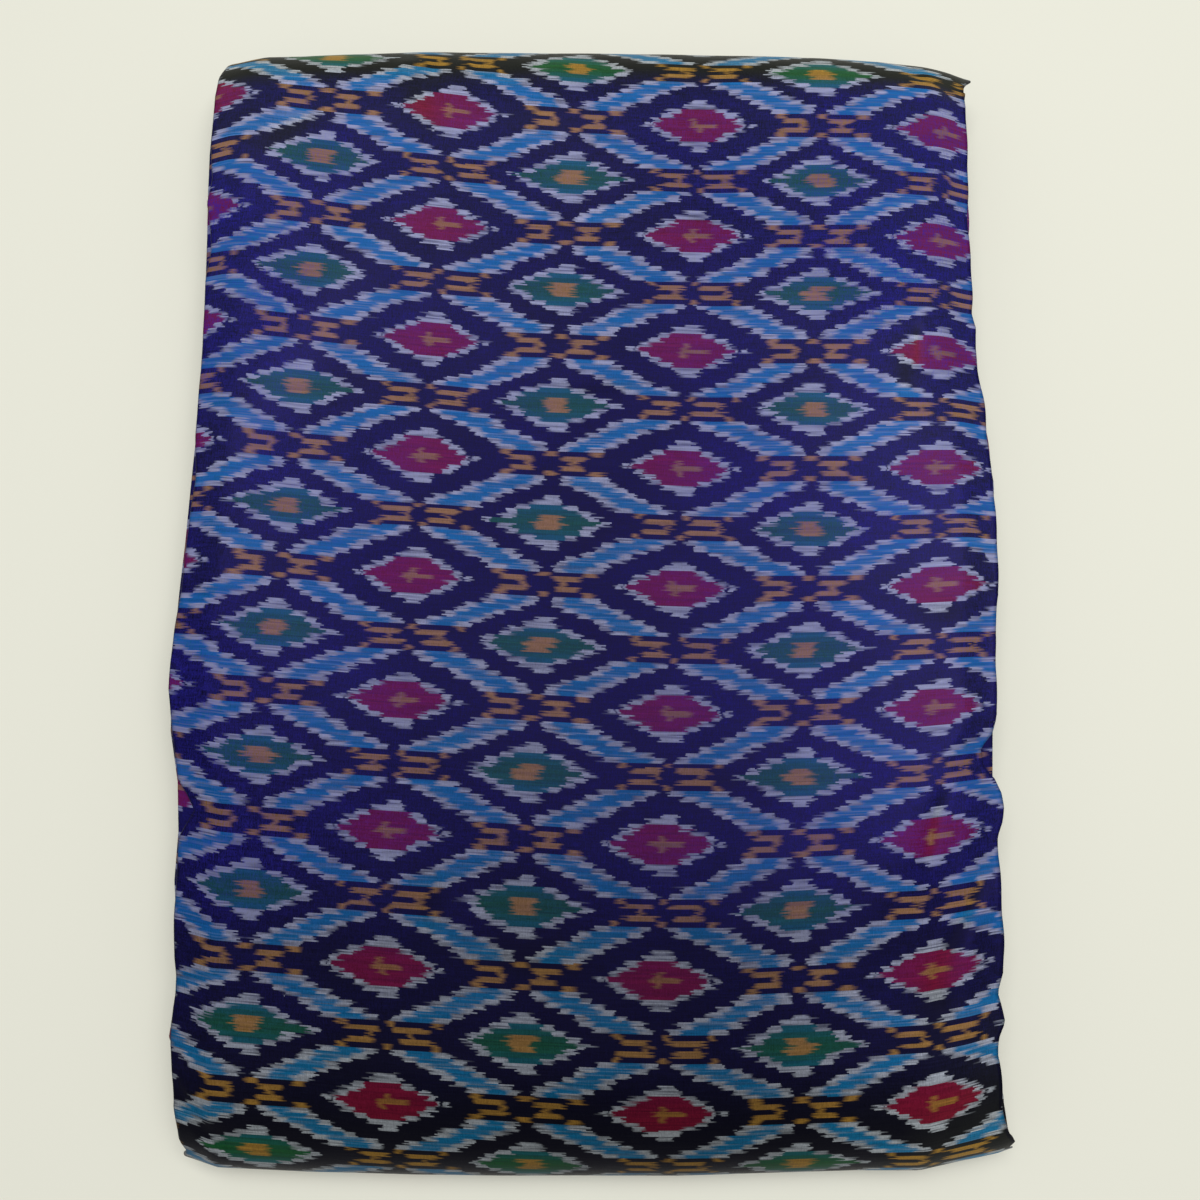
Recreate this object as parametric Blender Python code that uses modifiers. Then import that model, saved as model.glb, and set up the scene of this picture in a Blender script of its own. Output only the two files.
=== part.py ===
"""A long ikat cloth, folded into a flat bundle that lies on a table.

The cloth is folded in four along its length and then back and forth, in twelve
levels. One sheet stands for the four plies of a level. It starts at the loose
end under the far side, runs along the underside to the near end, wraps up
around it, crosses the top, comes down around the far end, runs back under the
bundle, and goes up inside in a zigzag of shorter and shorter turns.

Metres, +Z up, X along the wefts, Y along the warps, and the origin in the
middle of the flat underside.
"""

import math
from typing import NamedTuple

import bmesh
import bpy

# The sheet and its levels
SHEET = 0.0020          # thickness of four loose plies of silk
GAP = 0.0007            # air between two levels
LEVELS = 12
PITCH = SHEET + GAP

# Plan of the bundle
REACH = 0.2040          # from the origin to the middle of the sheet at either end
LOOSE_END = 0.1890      # where the outer end stops, under the far side

# How finely the sheet is divided
CORE_ROWS = 6           # rows along a level inside
UNDERSIDE_ROWS = 9      # rows along the outer level below
TOP_ROWS = 19           # rows along the level on top
TURN_ROWS = 6           # rows around a small turn
WRAP_ROWS = 8           # rows around each half of a rounded end
COLUMN_SHARES = (
    0.0, 0.012, 0.035, 0.11, 0.25, 0.42, 0.58, 0.72, 0.82, 0.89, 0.945, 0.97, 0.988, 1.0,
)


class EndShape(NamedTuple):
    """The outer level's curve at one end of the bundle."""

    shoulder: float     # length of the curve above its widest place
    heel: float         # length of the curve below it
    belly: float        # height of the widest place
    low_level: int      # the level that the curve comes down to


class EdgeStation(NamedTuple):
    """Where the left and right edges lie at one place along the bundle."""

    y: float
    left: float
    right: float


class EndStation(NamedTuple):
    """How far the near and far ends fall short of the full reach at one x."""

    x: float
    near: float
    far: float


class LevelShift(NamedTuple):
    """How far a level's left and right edges stand out past the top one's."""

    left: float
    right: float


class Swell(NamedTuple):
    """A soft rise or hollow of the whole stack, measured on its top."""

    x: float
    y: float
    width: float
    length: float
    height: float
    turn: float         # degrees from +X to the width's direction


class PathPoint(NamedTuple):
    """A place on the sheet's section, and the level that it belongs to."""

    y: float
    z: float
    level: float


NEAR_END = EndShape(shoulder=0.038, heel=0.014, belly=0.0110, low_level=0)
FAR_END = EndShape(shoulder=0.026, heel=0.011, belly=0.0130, low_level=1)

# How much further in each small turn stops than the outer curve allows,
# from the lowest turn at that end to the highest
NEAR_TUCKS = (0.0, 0.0025, 0.0010, 0.0030, 0.0015)
FAR_TUCKS = (0.0010, 0.0030, 0.0005, 0.0020)

EDGES = (
    EdgeStation(y=0.204, left=-0.1388, right=0.1385),
    EdgeStation(y=0.190, left=-0.1410, right=0.1400),
    EdgeStation(y=0.165, left=-0.1424, right=0.1416),
    EdgeStation(y=0.152, left=-0.1412, right=0.1414),
    EdgeStation(y=0.142, left=-0.1430, right=0.1415),
    EdgeStation(y=0.105, left=-0.1415, right=0.1412),
    EdgeStation(y=0.082, left=-0.1413, right=0.1390),
    EdgeStation(y=0.050, left=-0.1420, right=0.1442),
    EdgeStation(y=0.018, left=-0.1430, right=0.1450),
    EdgeStation(y=-0.010, left=-0.1441, right=0.1438),
    EdgeStation(y=-0.035, left=-0.1460, right=0.1422),
    EdgeStation(y=-0.048, left=-0.1452, right=0.1419),
    EdgeStation(y=-0.064, left=-0.1426, right=0.1386),
    EdgeStation(y=-0.080, left=-0.1390, right=0.1420),
    EdgeStation(y=-0.096, left=-0.1402, right=0.1391),
    EdgeStation(y=-0.122, left=-0.1395, right=0.1402),
    EdgeStation(y=-0.142, left=-0.1378, right=0.1382),
    EdgeStation(y=-0.162, left=-0.1390, right=0.1358),
    EdgeStation(y=-0.182, left=-0.1362, right=0.1372),
    EdgeStation(y=-0.204, left=-0.1330, right=0.1385),
)

ENDS = (
    EndStation(x=-0.150, near=0.0150, far=0.0075),
    EndStation(x=-0.139, near=0.0090, far=0.0043),
    EndStation(x=-0.125, near=0.0034, far=0.0025),
    EndStation(x=-0.095, near=0.0008, far=0.0010),
    EndStation(x=-0.030, near=0.0, far=0.0),
    EndStation(x=0.030, near=0.0002, far=0.0006),
    EndStation(x=0.090, near=0.0018, far=0.0024),
    EndStation(x=0.120, near=0.0028, far=0.0050),
    EndStation(x=0.139, near=0.0056, far=0.0090),
    EndStation(x=0.150, near=0.0080, far=0.0120),
)

# Lowest level first; the top one's edges are the outline above
LEVEL_SHIFTS = (
    LevelShift(left=-0.0010, right=-0.0012),
    LevelShift(left=0.0006, right=0.0008),
    LevelShift(left=-0.0018, right=-0.0020),
    LevelShift(left=-0.0004, right=0.0010),
    LevelShift(left=0.0008, right=-0.0006),
    LevelShift(left=-0.0022, right=0.0014),
    LevelShift(left=-0.0010, right=-0.0016),
    LevelShift(left=0.0004, right=0.0004),
    LevelShift(left=-0.0012, right=-0.0010),
    LevelShift(left=-0.0002, right=-0.0004),
    LevelShift(left=-0.0006, right=-0.0002),
    LevelShift(left=0.0, right=0.0),
)

# The folded corner that sticks out at the right of each rounded end
EAR_MIDDLE = {"near": 4.5, "far": 6.5}      # level at which it is longest
EAR_SPREAD = 3.0                            # levels above and below it
EAR_LENGTH = {"near": 0.0030, "far": 0.0072}
EAR_START = 0.186                           # how far out along Y it begins
EAR_WIDTH = 0.030                           # how far in from the edge the cloth follows it

# The stack settles a little along its two folded edges
DROOP_WIDTH = 0.014
DROOP_LEFT = 0.06       # share of the height that is lost at the edge itself
DROOP_RIGHT = 0.10

SWELLS = (
    Swell(x=-0.020, y=0.020, width=0.090, length=0.130, height=-0.0006, turn=0.0),
    Swell(x=-0.085, y=-0.040, width=0.045, length=0.080, height=0.0007, turn=0.0),
    Swell(x=0.075, y=0.060, width=0.040, length=0.070, height=0.0006, turn=0.0),
    Swell(x=0.138, y=0.082, width=0.012, length=0.020, height=-0.0012, turn=0.0),
    Swell(x=0.121, y=-0.125, width=0.009, length=0.032, height=-0.0011, turn=-24.0),
    Swell(x=0.132, y=-0.140, width=0.009, length=0.035, height=0.0009, turn=-24.0),
    Swell(x=0.106, y=-0.098, width=0.011, length=0.030, height=0.0008, turn=-10.0),
    Swell(x=-0.128, y=-0.176, width=0.013, length=0.022, height=-0.0012, turn=35.0),
    Swell(x=-0.030, y=0.178, width=0.060, length=0.010, height=0.0006, turn=0.0),
)

SILK_COLOUR = (0.030, 0.024, 0.110, 1.0)
SILK_ROUGHNESS = 0.48


def level_height(level: float) -> float:
    """Height of the middle of a level's sheet."""
    return SHEET / 2 + level * PITCH


TOP_HEIGHT = level_height(LEVELS - 1)


def wrap_points(end: EndShape, side: int) -> list[PathPoint]:
    """The rounded end from its lowest level up to the top, as two quarter ellipses."""
    low = level_height(end.low_level)
    points = []
    for row in range(2 * WRAP_ROWS + 1):
        angle = math.radians(90.0 * (row / WRAP_ROWS - 1.0))
        rise = math.sin(angle)
        length = end.shoulder if rise > 0.0 else end.heel
        height = TOP_HEIGHT - end.belly if rise > 0.0 else end.belly - low
        y = REACH - length * (1.0 - math.cos(angle))
        z = end.belly + height * rise
        level = (z - SHEET / 2) / PITCH
        points.append(PathPoint(side * y, z, level))
    return points


def inner_reach(end: EndShape, level: int) -> float:
    """How far out a level inside may go without meeting the rounded end."""
    z = level_height(level)
    above = z > end.belly
    length = end.shoulder if above else end.heel
    height = TOP_HEIGHT - end.belly if above else end.belly - level_height(end.low_level)
    rise = min(1.0, abs(z - end.belly) / (height - PITCH))
    return REACH - length + (length - PITCH) * math.sqrt(1.0 - rise * rise)


def turn_points(end: EndShape, side: int, level: int, tuck: float) -> list[PathPoint]:
    """The small turn that joins a level to the next one up."""
    tip = min(inner_reach(end, level), inner_reach(end, level + 1)) - tuck
    radius = PITCH / 2
    points = []
    for row in range(TURN_ROWS + 1):
        angle = math.radians(180.0 * row / TURN_ROWS - 90.0)
        y = tip - radius * (1.0 - math.cos(angle))
        z = level_height(level + 0.5) + radius * math.sin(angle)
        points.append(PathPoint(side * y, z, level + row / TURN_ROWS))
    return points


def run_points(start: PathPoint, stop_y: float, rows: int) -> list[PathPoint]:
    """The inner points of a level's flat run, between its two ends."""
    span = stop_y - start.y
    return [start._replace(y=start.y + span * row / rows) for row in range(1, rows)]


def section() -> list[PathPoint]:
    """The sheet's whole section, from the loose end below to the end inside."""
    near_wrap = wrap_points(NEAR_END, side=-1)
    far_wrap = list(reversed(wrap_points(FAR_END, side=1)))
    path = [PathPoint(LOOSE_END, level_height(0), 0.0)]
    path += run_points(path[-1], near_wrap[0].y, UNDERSIDE_ROWS)
    path += near_wrap
    path += run_points(path[-1], far_wrap[0].y, TOP_ROWS)
    path += far_wrap
    near_turns = zip(range(1, LEVELS - 1, 2), NEAR_TUCKS)
    far_turns = zip(range(2, LEVELS - 2, 2), FAR_TUCKS)
    turns = [(NEAR_END, -1, level, tuck) for level, tuck in near_turns]
    turns += [(FAR_END, 1, level, tuck) for level, tuck in far_turns]
    for end, side, level, tuck in sorted(turns, key=lambda turn: turn[2]):
        turn = turn_points(end, side, level, tuck)
        path += run_points(path[-1], turn[0].y, CORE_ROWS) + turn
    last_y = inner_reach(FAR_END, LEVELS - 2)
    path += run_points(path[-1], last_y, CORE_ROWS)
    path.append(path[-1]._replace(y=last_y))
    return path


def between(stations: tuple, key: str, place: float, column: str) -> float:
    """Read a column of a table of stations at a place, straight between rows."""
    rows = sorted(stations, key=lambda station: getattr(station, key))
    place = min(max(place, getattr(rows[0], key)), getattr(rows[-1], key))
    for low, high in zip(rows, rows[1:]):
        start, stop = getattr(low, key), getattr(high, key)
        if place <= stop:
            share = (place - start) / (stop - start)
            return getattr(low, column) * (1.0 - share) + getattr(high, column) * share
    return getattr(rows[-1], column)


def smooth(value: float) -> float:
    """Ease from 0 to 1."""
    value = min(max(value, 0.0), 1.0)
    return value * value * (3.0 - 2.0 * value)


def level_shift(level: float, column: str) -> float:
    """A level's edge shift, straight between whole levels."""
    low = min(int(level), LEVELS - 2)
    share = level - low
    lower = getattr(LEVEL_SHIFTS[low], column)
    upper = getattr(LEVEL_SHIFTS[low + 1], column)
    return lower * (1.0 - share) + upper * share


def ear(y: float, level: float) -> float:
    """How far the right corner sticks out at a place on a rounded end."""
    end = "near" if y < 0.0 else "far"
    out = smooth((abs(y) - EAR_START) / (REACH - EAR_START))
    up = smooth(1.0 - abs(level - EAR_MIDDLE[end]) / EAR_SPREAD)
    return EAR_LENGTH[end] * out * up


def swell(x: float, y: float) -> float:
    """Height of the soft rises and hollows at a place on the top."""
    total = 0.0
    for spot in SWELLS:
        turn = math.radians(spot.turn)
        dx, dy = x - spot.x, y - spot.y
        across = (dx * math.cos(turn) + dy * math.sin(turn)) / spot.width
        along = (dy * math.cos(turn) - dx * math.sin(turn)) / spot.length
        total += spot.height * math.exp(-across * across - along * along)
    return total


def settling(from_left: float, from_right: float) -> float:
    """What is left of the height at a distance from either folded edge."""
    left = smooth(1.0 - from_left / DROOP_WIDTH)
    right = smooth(1.0 - from_right / DROOP_WIDTH)
    return 1.0 - DROOP_LEFT * left - DROOP_RIGHT * right


def place(point: PathPoint, share: float) -> tuple[float, float, float]:
    """Where the sheet lies, for a point of the section and a share of its width."""
    left = between(EDGES, "y", point.y, "left") + level_shift(point.level, "left")
    right = between(EDGES, "y", point.y, "right") + level_shift(point.level, "right")
    x = left + (right - left) * share
    lift = settling(x - left, right - x)
    x += ear(point.y, point.level) * smooth(1.0 - (right - x) / EAR_WIDTH)
    column = "near" if point.y < 0.0 else "far"
    y = point.y * (1.0 - between(ENDS, "x", x, column) / REACH)
    lift *= 1.0 + swell(x, y) / TOP_HEIGHT
    z = SHEET / 2 + (point.z - SHEET / 2) * lift
    return x, y, z


def folded_sheet() -> bpy.types.Mesh:
    """The sheet's middle surface: a flat grid, moved onto the section."""
    path = section()
    columns = len(COLUMN_SHARES) - 1
    rows = len(path) - 1
    grid = bmesh.new()
    bmesh.ops.create_grid(grid, x_segments=columns, y_segments=rows, size=0.5)
    for vert in grid.verts:
        column = round((vert.co.x + 0.5) * columns)
        row = round((vert.co.y + 0.5) * rows)
        vert.co = place(path[row], COLUMN_SHARES[column])
    mesh = bpy.data.meshes.new("folded_cloth")
    grid.to_mesh(mesh)
    grid.free()
    return mesh


def silk() -> bpy.types.Material:
    """Dark blue silk."""
    material = bpy.data.materials.new("ikat_silk")
    material.use_nodes = True
    shader = material.node_tree.nodes["Principled BSDF"]
    shader.inputs["Base Color"].default_value = SILK_COLOUR
    shader.inputs["Roughness"].default_value = SILK_ROUGHNESS
    shader.inputs["Metallic"].default_value = 0.0
    return material


def folded_cloth(collection: bpy.types.Collection) -> bpy.types.Object:
    """The whole cloth as one solid sheet."""
    mesh = folded_sheet()
    mesh.materials.append(silk())
    mesh.shade_smooth()
    cloth = bpy.data.objects.new("folded_cloth", mesh)
    collection.objects.link(cloth)
    thickness = cloth.modifiers.new("sheet_thickness", "SOLIDIFY")
    thickness.thickness = SHEET
    thickness.offset = 0.0
    thickness.use_even_offset = True
    return cloth


def main() -> None:
    """Clear the scene and build the folded cloth."""
    for leftover in list(bpy.data.objects):
        bpy.data.objects.remove(leftover, do_unlink=True)
    collection = bpy.data.collections.new("ikat_cloth")
    bpy.context.scene.collection.children.link(collection)
    folded_cloth(collection)


main()
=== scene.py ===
"""A long ikat silk, folded in four and then back and forth into a flat bundle.

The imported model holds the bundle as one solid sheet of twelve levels.  Here each
level shows its four plies: the cloth is folded like a book, its two selvedges
inside on the left, and then laid in levels inside one outer turn that runs
along the underside, around the near end, over the top and around the far end.

Metres, +Z up, X along the wefts, Y along the warps, and the origin in the
middle of the flat underside.
"""

import logging
import math
from dataclasses import dataclass, field
from enum import Enum
from typing import NamedTuple

import bmesh
import bpy
import numpy as np
from mathutils import Euler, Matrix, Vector


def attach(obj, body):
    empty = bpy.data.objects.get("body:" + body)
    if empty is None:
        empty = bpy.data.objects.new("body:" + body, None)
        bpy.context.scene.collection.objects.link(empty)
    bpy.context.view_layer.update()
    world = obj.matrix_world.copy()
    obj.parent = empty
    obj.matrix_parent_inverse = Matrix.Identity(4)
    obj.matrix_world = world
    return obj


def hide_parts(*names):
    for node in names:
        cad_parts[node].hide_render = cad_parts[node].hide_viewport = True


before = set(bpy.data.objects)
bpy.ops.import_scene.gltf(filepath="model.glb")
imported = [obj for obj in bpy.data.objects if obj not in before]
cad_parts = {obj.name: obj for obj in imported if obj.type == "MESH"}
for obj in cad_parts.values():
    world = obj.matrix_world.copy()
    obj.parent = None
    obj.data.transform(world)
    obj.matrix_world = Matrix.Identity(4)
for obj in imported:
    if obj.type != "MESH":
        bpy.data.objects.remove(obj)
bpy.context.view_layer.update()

LOG = logging.getLogger("ikat_cloth")
SOLID = "folded_cloth"
BODY = "root"
CLOTH_MAP = "cloth_metres"
BAKE_MAP = "OFBake"
MAP_MARGIN = 0.002
SHEEN = "warp_sheen"
PAINTED_WEFT_LIGHT = "weft_lustre"

MILLIMETRE = 0.001


class Edge(Enum):
    """A long side of the bundle."""

    LEFT = 0
    RIGHT = 1


class Part(Enum):
    """A stretch of the cloth's long path."""

    UNDERSIDE = "underside"
    OUTSIDE = "outside"
    INSIDE = "inside"


class Station(NamedTuple):
    """Where the left and right edges lie at one place along the bundle."""

    y: float
    left: float
    right: float


class EndStation(NamedTuple):
    """How far the near and far ends fall short of the full reach at one x."""

    x: float
    near: float
    far: float


class Slip(NamedTuple):
    """How far the woven pattern strays from an even repeat, at one place along it.

    The distances are in millimetres, one for each of the seven lines of
    FoldedCloth.slip_lines from left to right.
    """

    place: float
    across: tuple[float, ...]
    along: tuple[float, ...]


class Lustre(NamedTuple):
    """The painted light at one place: the strength of the painted violet sheen on the warps, and the
    painted brightness of the wefts.
    """

    place: float
    violet: float
    weft: float


@dataclass(frozen=True)
class EndShape:
    """The outer level's curve at one end of the bundle, and the ear at its right corner.

    side is -1 at the near end and 1 at the far one.  The curve's middle lies at the
    height belly, and shoulder and heel are its lengths above and below that.  The
    ear is a flap that sticks out by ear_length, most at the level ear_middle.
    """

    side: int
    shoulder: float
    heel: float
    belly: float
    low_level: int
    tucks: tuple[float, ...]
    ear_start: float
    ear_middle: float
    ear_spread: float
    ear_length: float
    inner_ear: float
    reach: float


@dataclass(frozen=True)
class Swell:
    """A soft rise or hollow of the whole stack, measured on its top."""

    x: float
    y: float
    width: float
    length: float
    height: float
    turn: float = 0.0

    def weight(self, x: np.ndarray, y: np.ndarray) -> np.ndarray:
        """How strongly it is felt at some places.

        Args:
            x: The places across the bundle.
            y: The places along it.

        Returns:
            1 in its middle, fading to 0 around it.
        """
        turn = math.radians(self.turn)
        dx, dy = x - self.x, y - self.y
        across = (dx * math.cos(turn) + dy * math.sin(turn)) / self.width
        along = (dy * math.cos(turn) - dx * math.sin(turn)) / self.length
        return np.exp(-across * across - along * along)


@dataclass(frozen=True)
class Crease:
    """A soft ridge or trough that was pressed in along a line of points, with painted shade along it."""

    points: tuple[tuple[float, float], ...]
    width: float
    height: float
    # How much of the violet sheen is painted out along it: painted shade in the crease.
    dull: float = 0.0
    fade: float = 0.3
    blunt: float = 0.12

    def weight(self, x: np.ndarray, y: np.ndarray) -> np.ndarray:
        """How strongly it is felt at some places.

        Args:
            x: The places across the bundle.
            y: The places along it.

        Returns:
            1 on the line, fading to 0 beside it and towards its two ends.
        """
        points = np.array(self.points)
        steps = np.linalg.norm(np.diff(points, axis=0), axis=1)
        total = steps.sum()
        nearest = np.full(x.shape, np.inf)
        along = np.zeros(x.shape)
        for index, step in enumerate(steps):
            start = points[index]
            line = (points[index + 1] - start) / step
            reach = np.clip((x - start[0]) * line[0] + (y - start[1]) * line[1], 0.0, step)
            away = np.hypot(x - start[0] - reach * line[0], y - start[1] - reach * line[1])
            closer = away < nearest
            nearest = np.where(closer, away, nearest)
            along = np.where(closer, steps[:index].sum() + reach, along)
        taper = eased(np.minimum(along, total - along) / (self.fade * total) + self.blunt)
        return np.exp(-((nearest / self.width) ** 2)) * taper


class Wave(NamedTuple):
    """One of the top's fine waves, bent sideways by a slower one.

    Both are given by their rates along x and y and by where they start.
    """

    strength: float
    rates: tuple[float, float, float]
    bend: float = 0.0
    bend_rates: tuple[float, float, float] = (0.0, 0.0, 0.0)

    def height(self, x: np.ndarray, y: np.ndarray) -> np.ndarray:
        """How far it rises or falls at some places.

        Args:
            x: The places across the bundle.
            y: The places along it.

        Returns:
            Its height, between minus and plus its strength.
        """
        by_x, by_y, start = self.rates
        bend_by_x, bend_by_y, bend_start = self.bend_rates
        bend = self.bend * np.sin(x * bend_by_x + y * bend_by_y + bend_start)
        return self.strength * np.sin(x * by_x + y * by_y + start + bend)


@dataclass
class Rows:
    """Places along the cloth's path, one for each row of a mesh."""

    y: np.ndarray
    z: np.ndarray
    level: np.ndarray
    arc: np.ndarray
    normal_y: np.ndarray
    normal_z: np.ndarray

    def cut(self, first: int, last: int) -> "Rows":
        """The rows from one index up to and with another."""
        kept = slice(first, last + 1)
        return Rows(
            self.y[kept],
            self.z[kept],
            self.level[kept],
            self.arc[kept],
            self.normal_y[kept],
            self.normal_z[kept],
        )


class Column(NamedTuple):
    """A line of the mesh along the cloth.

    share runs from the left edge to the right one, inset is a distance added to
    it, and offset is the ply's height in its level.  The rest says where the
    line lies on the flat cloth, which folds it wavers with, and how far it
    settles under the outer turn.
    """

    share: float
    inset: float
    offset: float
    flat_inset: float
    flip: int
    shift: float
    left_fold: int
    right_fold: int
    sink: float


def eased(value: np.ndarray | float) -> np.ndarray:
    """Ease from 0 to 1, and hold the ends."""
    value = np.clip(value, 0.0, 1.0)
    return value * value * (3.0 - 2.0 * value)


def table(stations: tuple, key: str, column: str, place: np.ndarray) -> np.ndarray:
    """Read one column of a table of stations.

    Args:
        stations: The table's rows, in any order.
        key: The field that the table is read by.
        column: The field that is read.
        place: The values of the key to read it at.

    Returns:
        The column's values there, straight between rows.
    """
    rows = sorted(stations, key=lambda station: getattr(station, key))
    places = [getattr(row, key) for row in rows]
    values = [getattr(row, column) for row in rows]
    return np.interp(place, places, values)


@dataclass
class FoldPlan:
    """The bundle's section and plan, with the same sizes as the solid."""

    sheet: float = 0.0020
    gap: float = 0.0007
    levels: int = 12
    loose_end: float = 0.1890
    near: EndShape = EndShape(
        side=-1,
        shoulder=0.038,
        heel=0.014,
        belly=0.0110,
        low_level=0,
        tucks=(0.0, 0.0025, 0.0010, 0.0030, 0.0015),
        ear_start=0.172,
        ear_middle=6.5,
        ear_spread=6.0,
        ear_length=0.0055,
        inner_ear=0.5,
        reach=0.2040,
    )
    far: EndShape = EndShape(
        side=1,
        shoulder=0.026,
        heel=0.011,
        belly=0.0130,
        low_level=1,
        tucks=(0.0010, 0.0030, 0.0005, 0.0020),
        ear_start=0.182,
        ear_middle=8.0,
        ear_spread=3.5,
        ear_length=0.0102,
        inner_ear=1.0,
        reach=0.2070,
    )
    ear_width: float = 0.030
    under_rows: int = 46
    top_rows: int = 200
    wrap_rows: int = 24
    core_rows: int = 20
    turn_rows: int = 10
    edges: tuple[Station, ...] = (
        Station(0.207, -0.1388, 0.1368),
        Station(0.194, -0.1406, 0.1414),
        Station(0.186, -0.1418, 0.1428),
        Station(0.178, -0.1420, 0.1430),
        Station(0.165, -0.1424, 0.1428),
        Station(0.152, -0.1412, 0.1423),
        Station(0.142, -0.1430, 0.1420),
        Station(0.131, -0.1412, 0.1418),
        Station(0.122, -0.1406, 0.1416),
        Station(0.111, -0.1417, 0.1408),
        Station(0.100, -0.1415, 0.1402),
        Station(0.094, -0.1414, 0.1421),
        Station(0.086, -0.1413, 0.1416),
        Station(0.077, -0.1413, 0.1421),
        Station(0.066, -0.1415, 0.1432),
        Station(0.050, -0.1419, 0.1444),
        Station(0.033, -0.1411, 0.1460),
        Station(0.018, -0.1424, 0.1451),
        Station(-0.010, -0.1441, 0.1446),
        Station(-0.023, -0.1454, 0.1424),
        Station(-0.035, -0.1459, 0.1421),
        Station(-0.045, -0.1461, 0.1423),
        Station(-0.054, -0.1450, 0.1427),
        Station(-0.060, -0.1440, 0.1408),
        Station(-0.065, -0.1432, 0.1362),
        Station(-0.071, -0.1420, 0.1368),
        Station(-0.076, -0.1412, 0.1406),
        Station(-0.081, -0.1376, 0.1423),
        Station(-0.086, -0.1348, 0.1426),
        Station(-0.091, -0.1376, 0.1419),
        Station(-0.096, -0.1400, 0.1403),
        Station(-0.108, -0.1399, 0.1400),
        Station(-0.122, -0.1397, 0.1391),
        Station(-0.137, -0.1386, 0.1388),
        Station(-0.142, -0.1377, 0.1389),
        Station(-0.148, -0.1376, 0.1370),
        Station(-0.153, -0.1382, 0.1382),
        Station(-0.158, -0.1386, 0.1393),
        Station(-0.163, -0.1386, 0.1371),
        Station(-0.168, -0.1380, 0.1363),
        Station(-0.182, -0.1364, 0.1383),
        Station(-0.204, -0.1352, 0.1385),
    )
    ends: tuple[EndStation, ...] = (
        EndStation(-0.150, 0.0112, 0.0070),
        EndStation(-0.139, 0.0050, 0.0036),
        EndStation(-0.125, 0.0010, 0.0013),
        EndStation(-0.095, -0.0003, 0.0002),
        EndStation(-0.060, -0.0012, -0.0008),
        EndStation(-0.030, -0.0016, -0.0006),
        EndStation(0.030, -0.0016, 0.0001),
        EndStation(0.090, 0.0001, 0.0017),
        EndStation(0.112, 0.0001, 0.0032),
        EndStation(0.128, 0.0034, 0.0055),
        EndStation(0.139, 0.0053, 0.0075),
        EndStation(0.150, 0.0086, 0.0106),
    )
    left_shifts: tuple[float, ...] = (
        -1.0, 0.6, -1.8, -0.4, 0.8, -2.2, -1.0, 0.4, -1.2, -0.8, -1.1, 0.0,
    )
    right_shifts: tuple[float, ...] = (
        -1.2, 0.8, -2.0, 1.0, -0.6, 1.4, -1.6, 0.4, -1.0, -1.0, -1.1, 0.0,
    )

    @property
    def pitch(self) -> float:
        """The height from one level to the next."""
        return self.sheet + self.gap

    @property
    def top(self) -> float:
        """The height of the middle of the top level."""
        return self.height(self.levels - 1)

    def height(self, level: float) -> float:
        """The height of the middle of a level."""
        return self.sheet / 2 + level * self.pitch

    def wrap(self, end: EndShape) -> list[tuple[float, float, float]]:
        """A rounded end, from its lowest level up to the top.

        Args:
            end: The end's curve.

        Returns:
            y, z and level of each row.
        """
        low = self.height(end.low_level)
        points = []
        for row in range(2 * self.wrap_rows + 1):
            angle = math.radians(90.0 * (row / self.wrap_rows - 1.0))
            rise = math.sin(angle)
            length = end.shoulder if rise > 0.0 else end.heel
            height = self.top - end.belly if rise > 0.0 else end.belly - low
            y = end.reach - length * (1.0 - math.cos(angle))
            z = end.belly + height * rise
            points.append((end.side * y, z, (z - self.sheet / 2) / self.pitch))
        return points

    def inner_reach(self, end: EndShape, level: int) -> float:
        """How far out a level inside may go without meeting the rounded end.

        Args:
            end: The end's curve.
            level: The level's number, counted from the lowest.

        Returns:
            The distance from the bundle's middle.
        """
        z = self.height(level)
        above = z > end.belly
        length = end.shoulder if above else end.heel
        height = self.top - end.belly if above else end.belly - self.height(end.low_level)
        rise = min(1.0, abs(z - end.belly) / (height - self.pitch))
        return end.reach - length + (length - self.pitch) * math.sqrt(1.0 - rise * rise)

    def turn(self, end: EndShape, level: int, tuck: float) -> list[tuple[float, float, float]]:
        """The small turn that joins a level to the next one up.

        Args:
            end: The curve of the end that it lies in.
            level: The lower level's number.
            tuck: How far it stays back from the rounded end.

        Returns:
            y, z and level of each row.
        """
        tip = min(self.inner_reach(end, level), self.inner_reach(end, level + 1)) - tuck
        radius = self.pitch / 2
        points = []
        for row in range(self.turn_rows + 1):
            angle = math.radians(180.0 * row / self.turn_rows - 90.0)
            y = tip - radius * (1.0 - math.cos(angle))
            z = self.height(level + 0.5) + radius * math.sin(angle)
            points.append((end.side * y, z, level + row / self.turn_rows))
        return points

    def rows(self) -> tuple[Rows, dict[Part, tuple[int, int]]]:
        """The whole path of the cloth.

        Returns:
            The rows, and the first and last row of each part of the path.
        """

        def run(start: tuple[float, float, float], stop: float, rows: int) -> list:
            """Go straight on from a row towards a y, without either of the two."""
            span = (stop - start[0]) / rows
            return [(start[0] + span * row, start[1], start[2]) for row in range(1, rows)]

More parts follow.
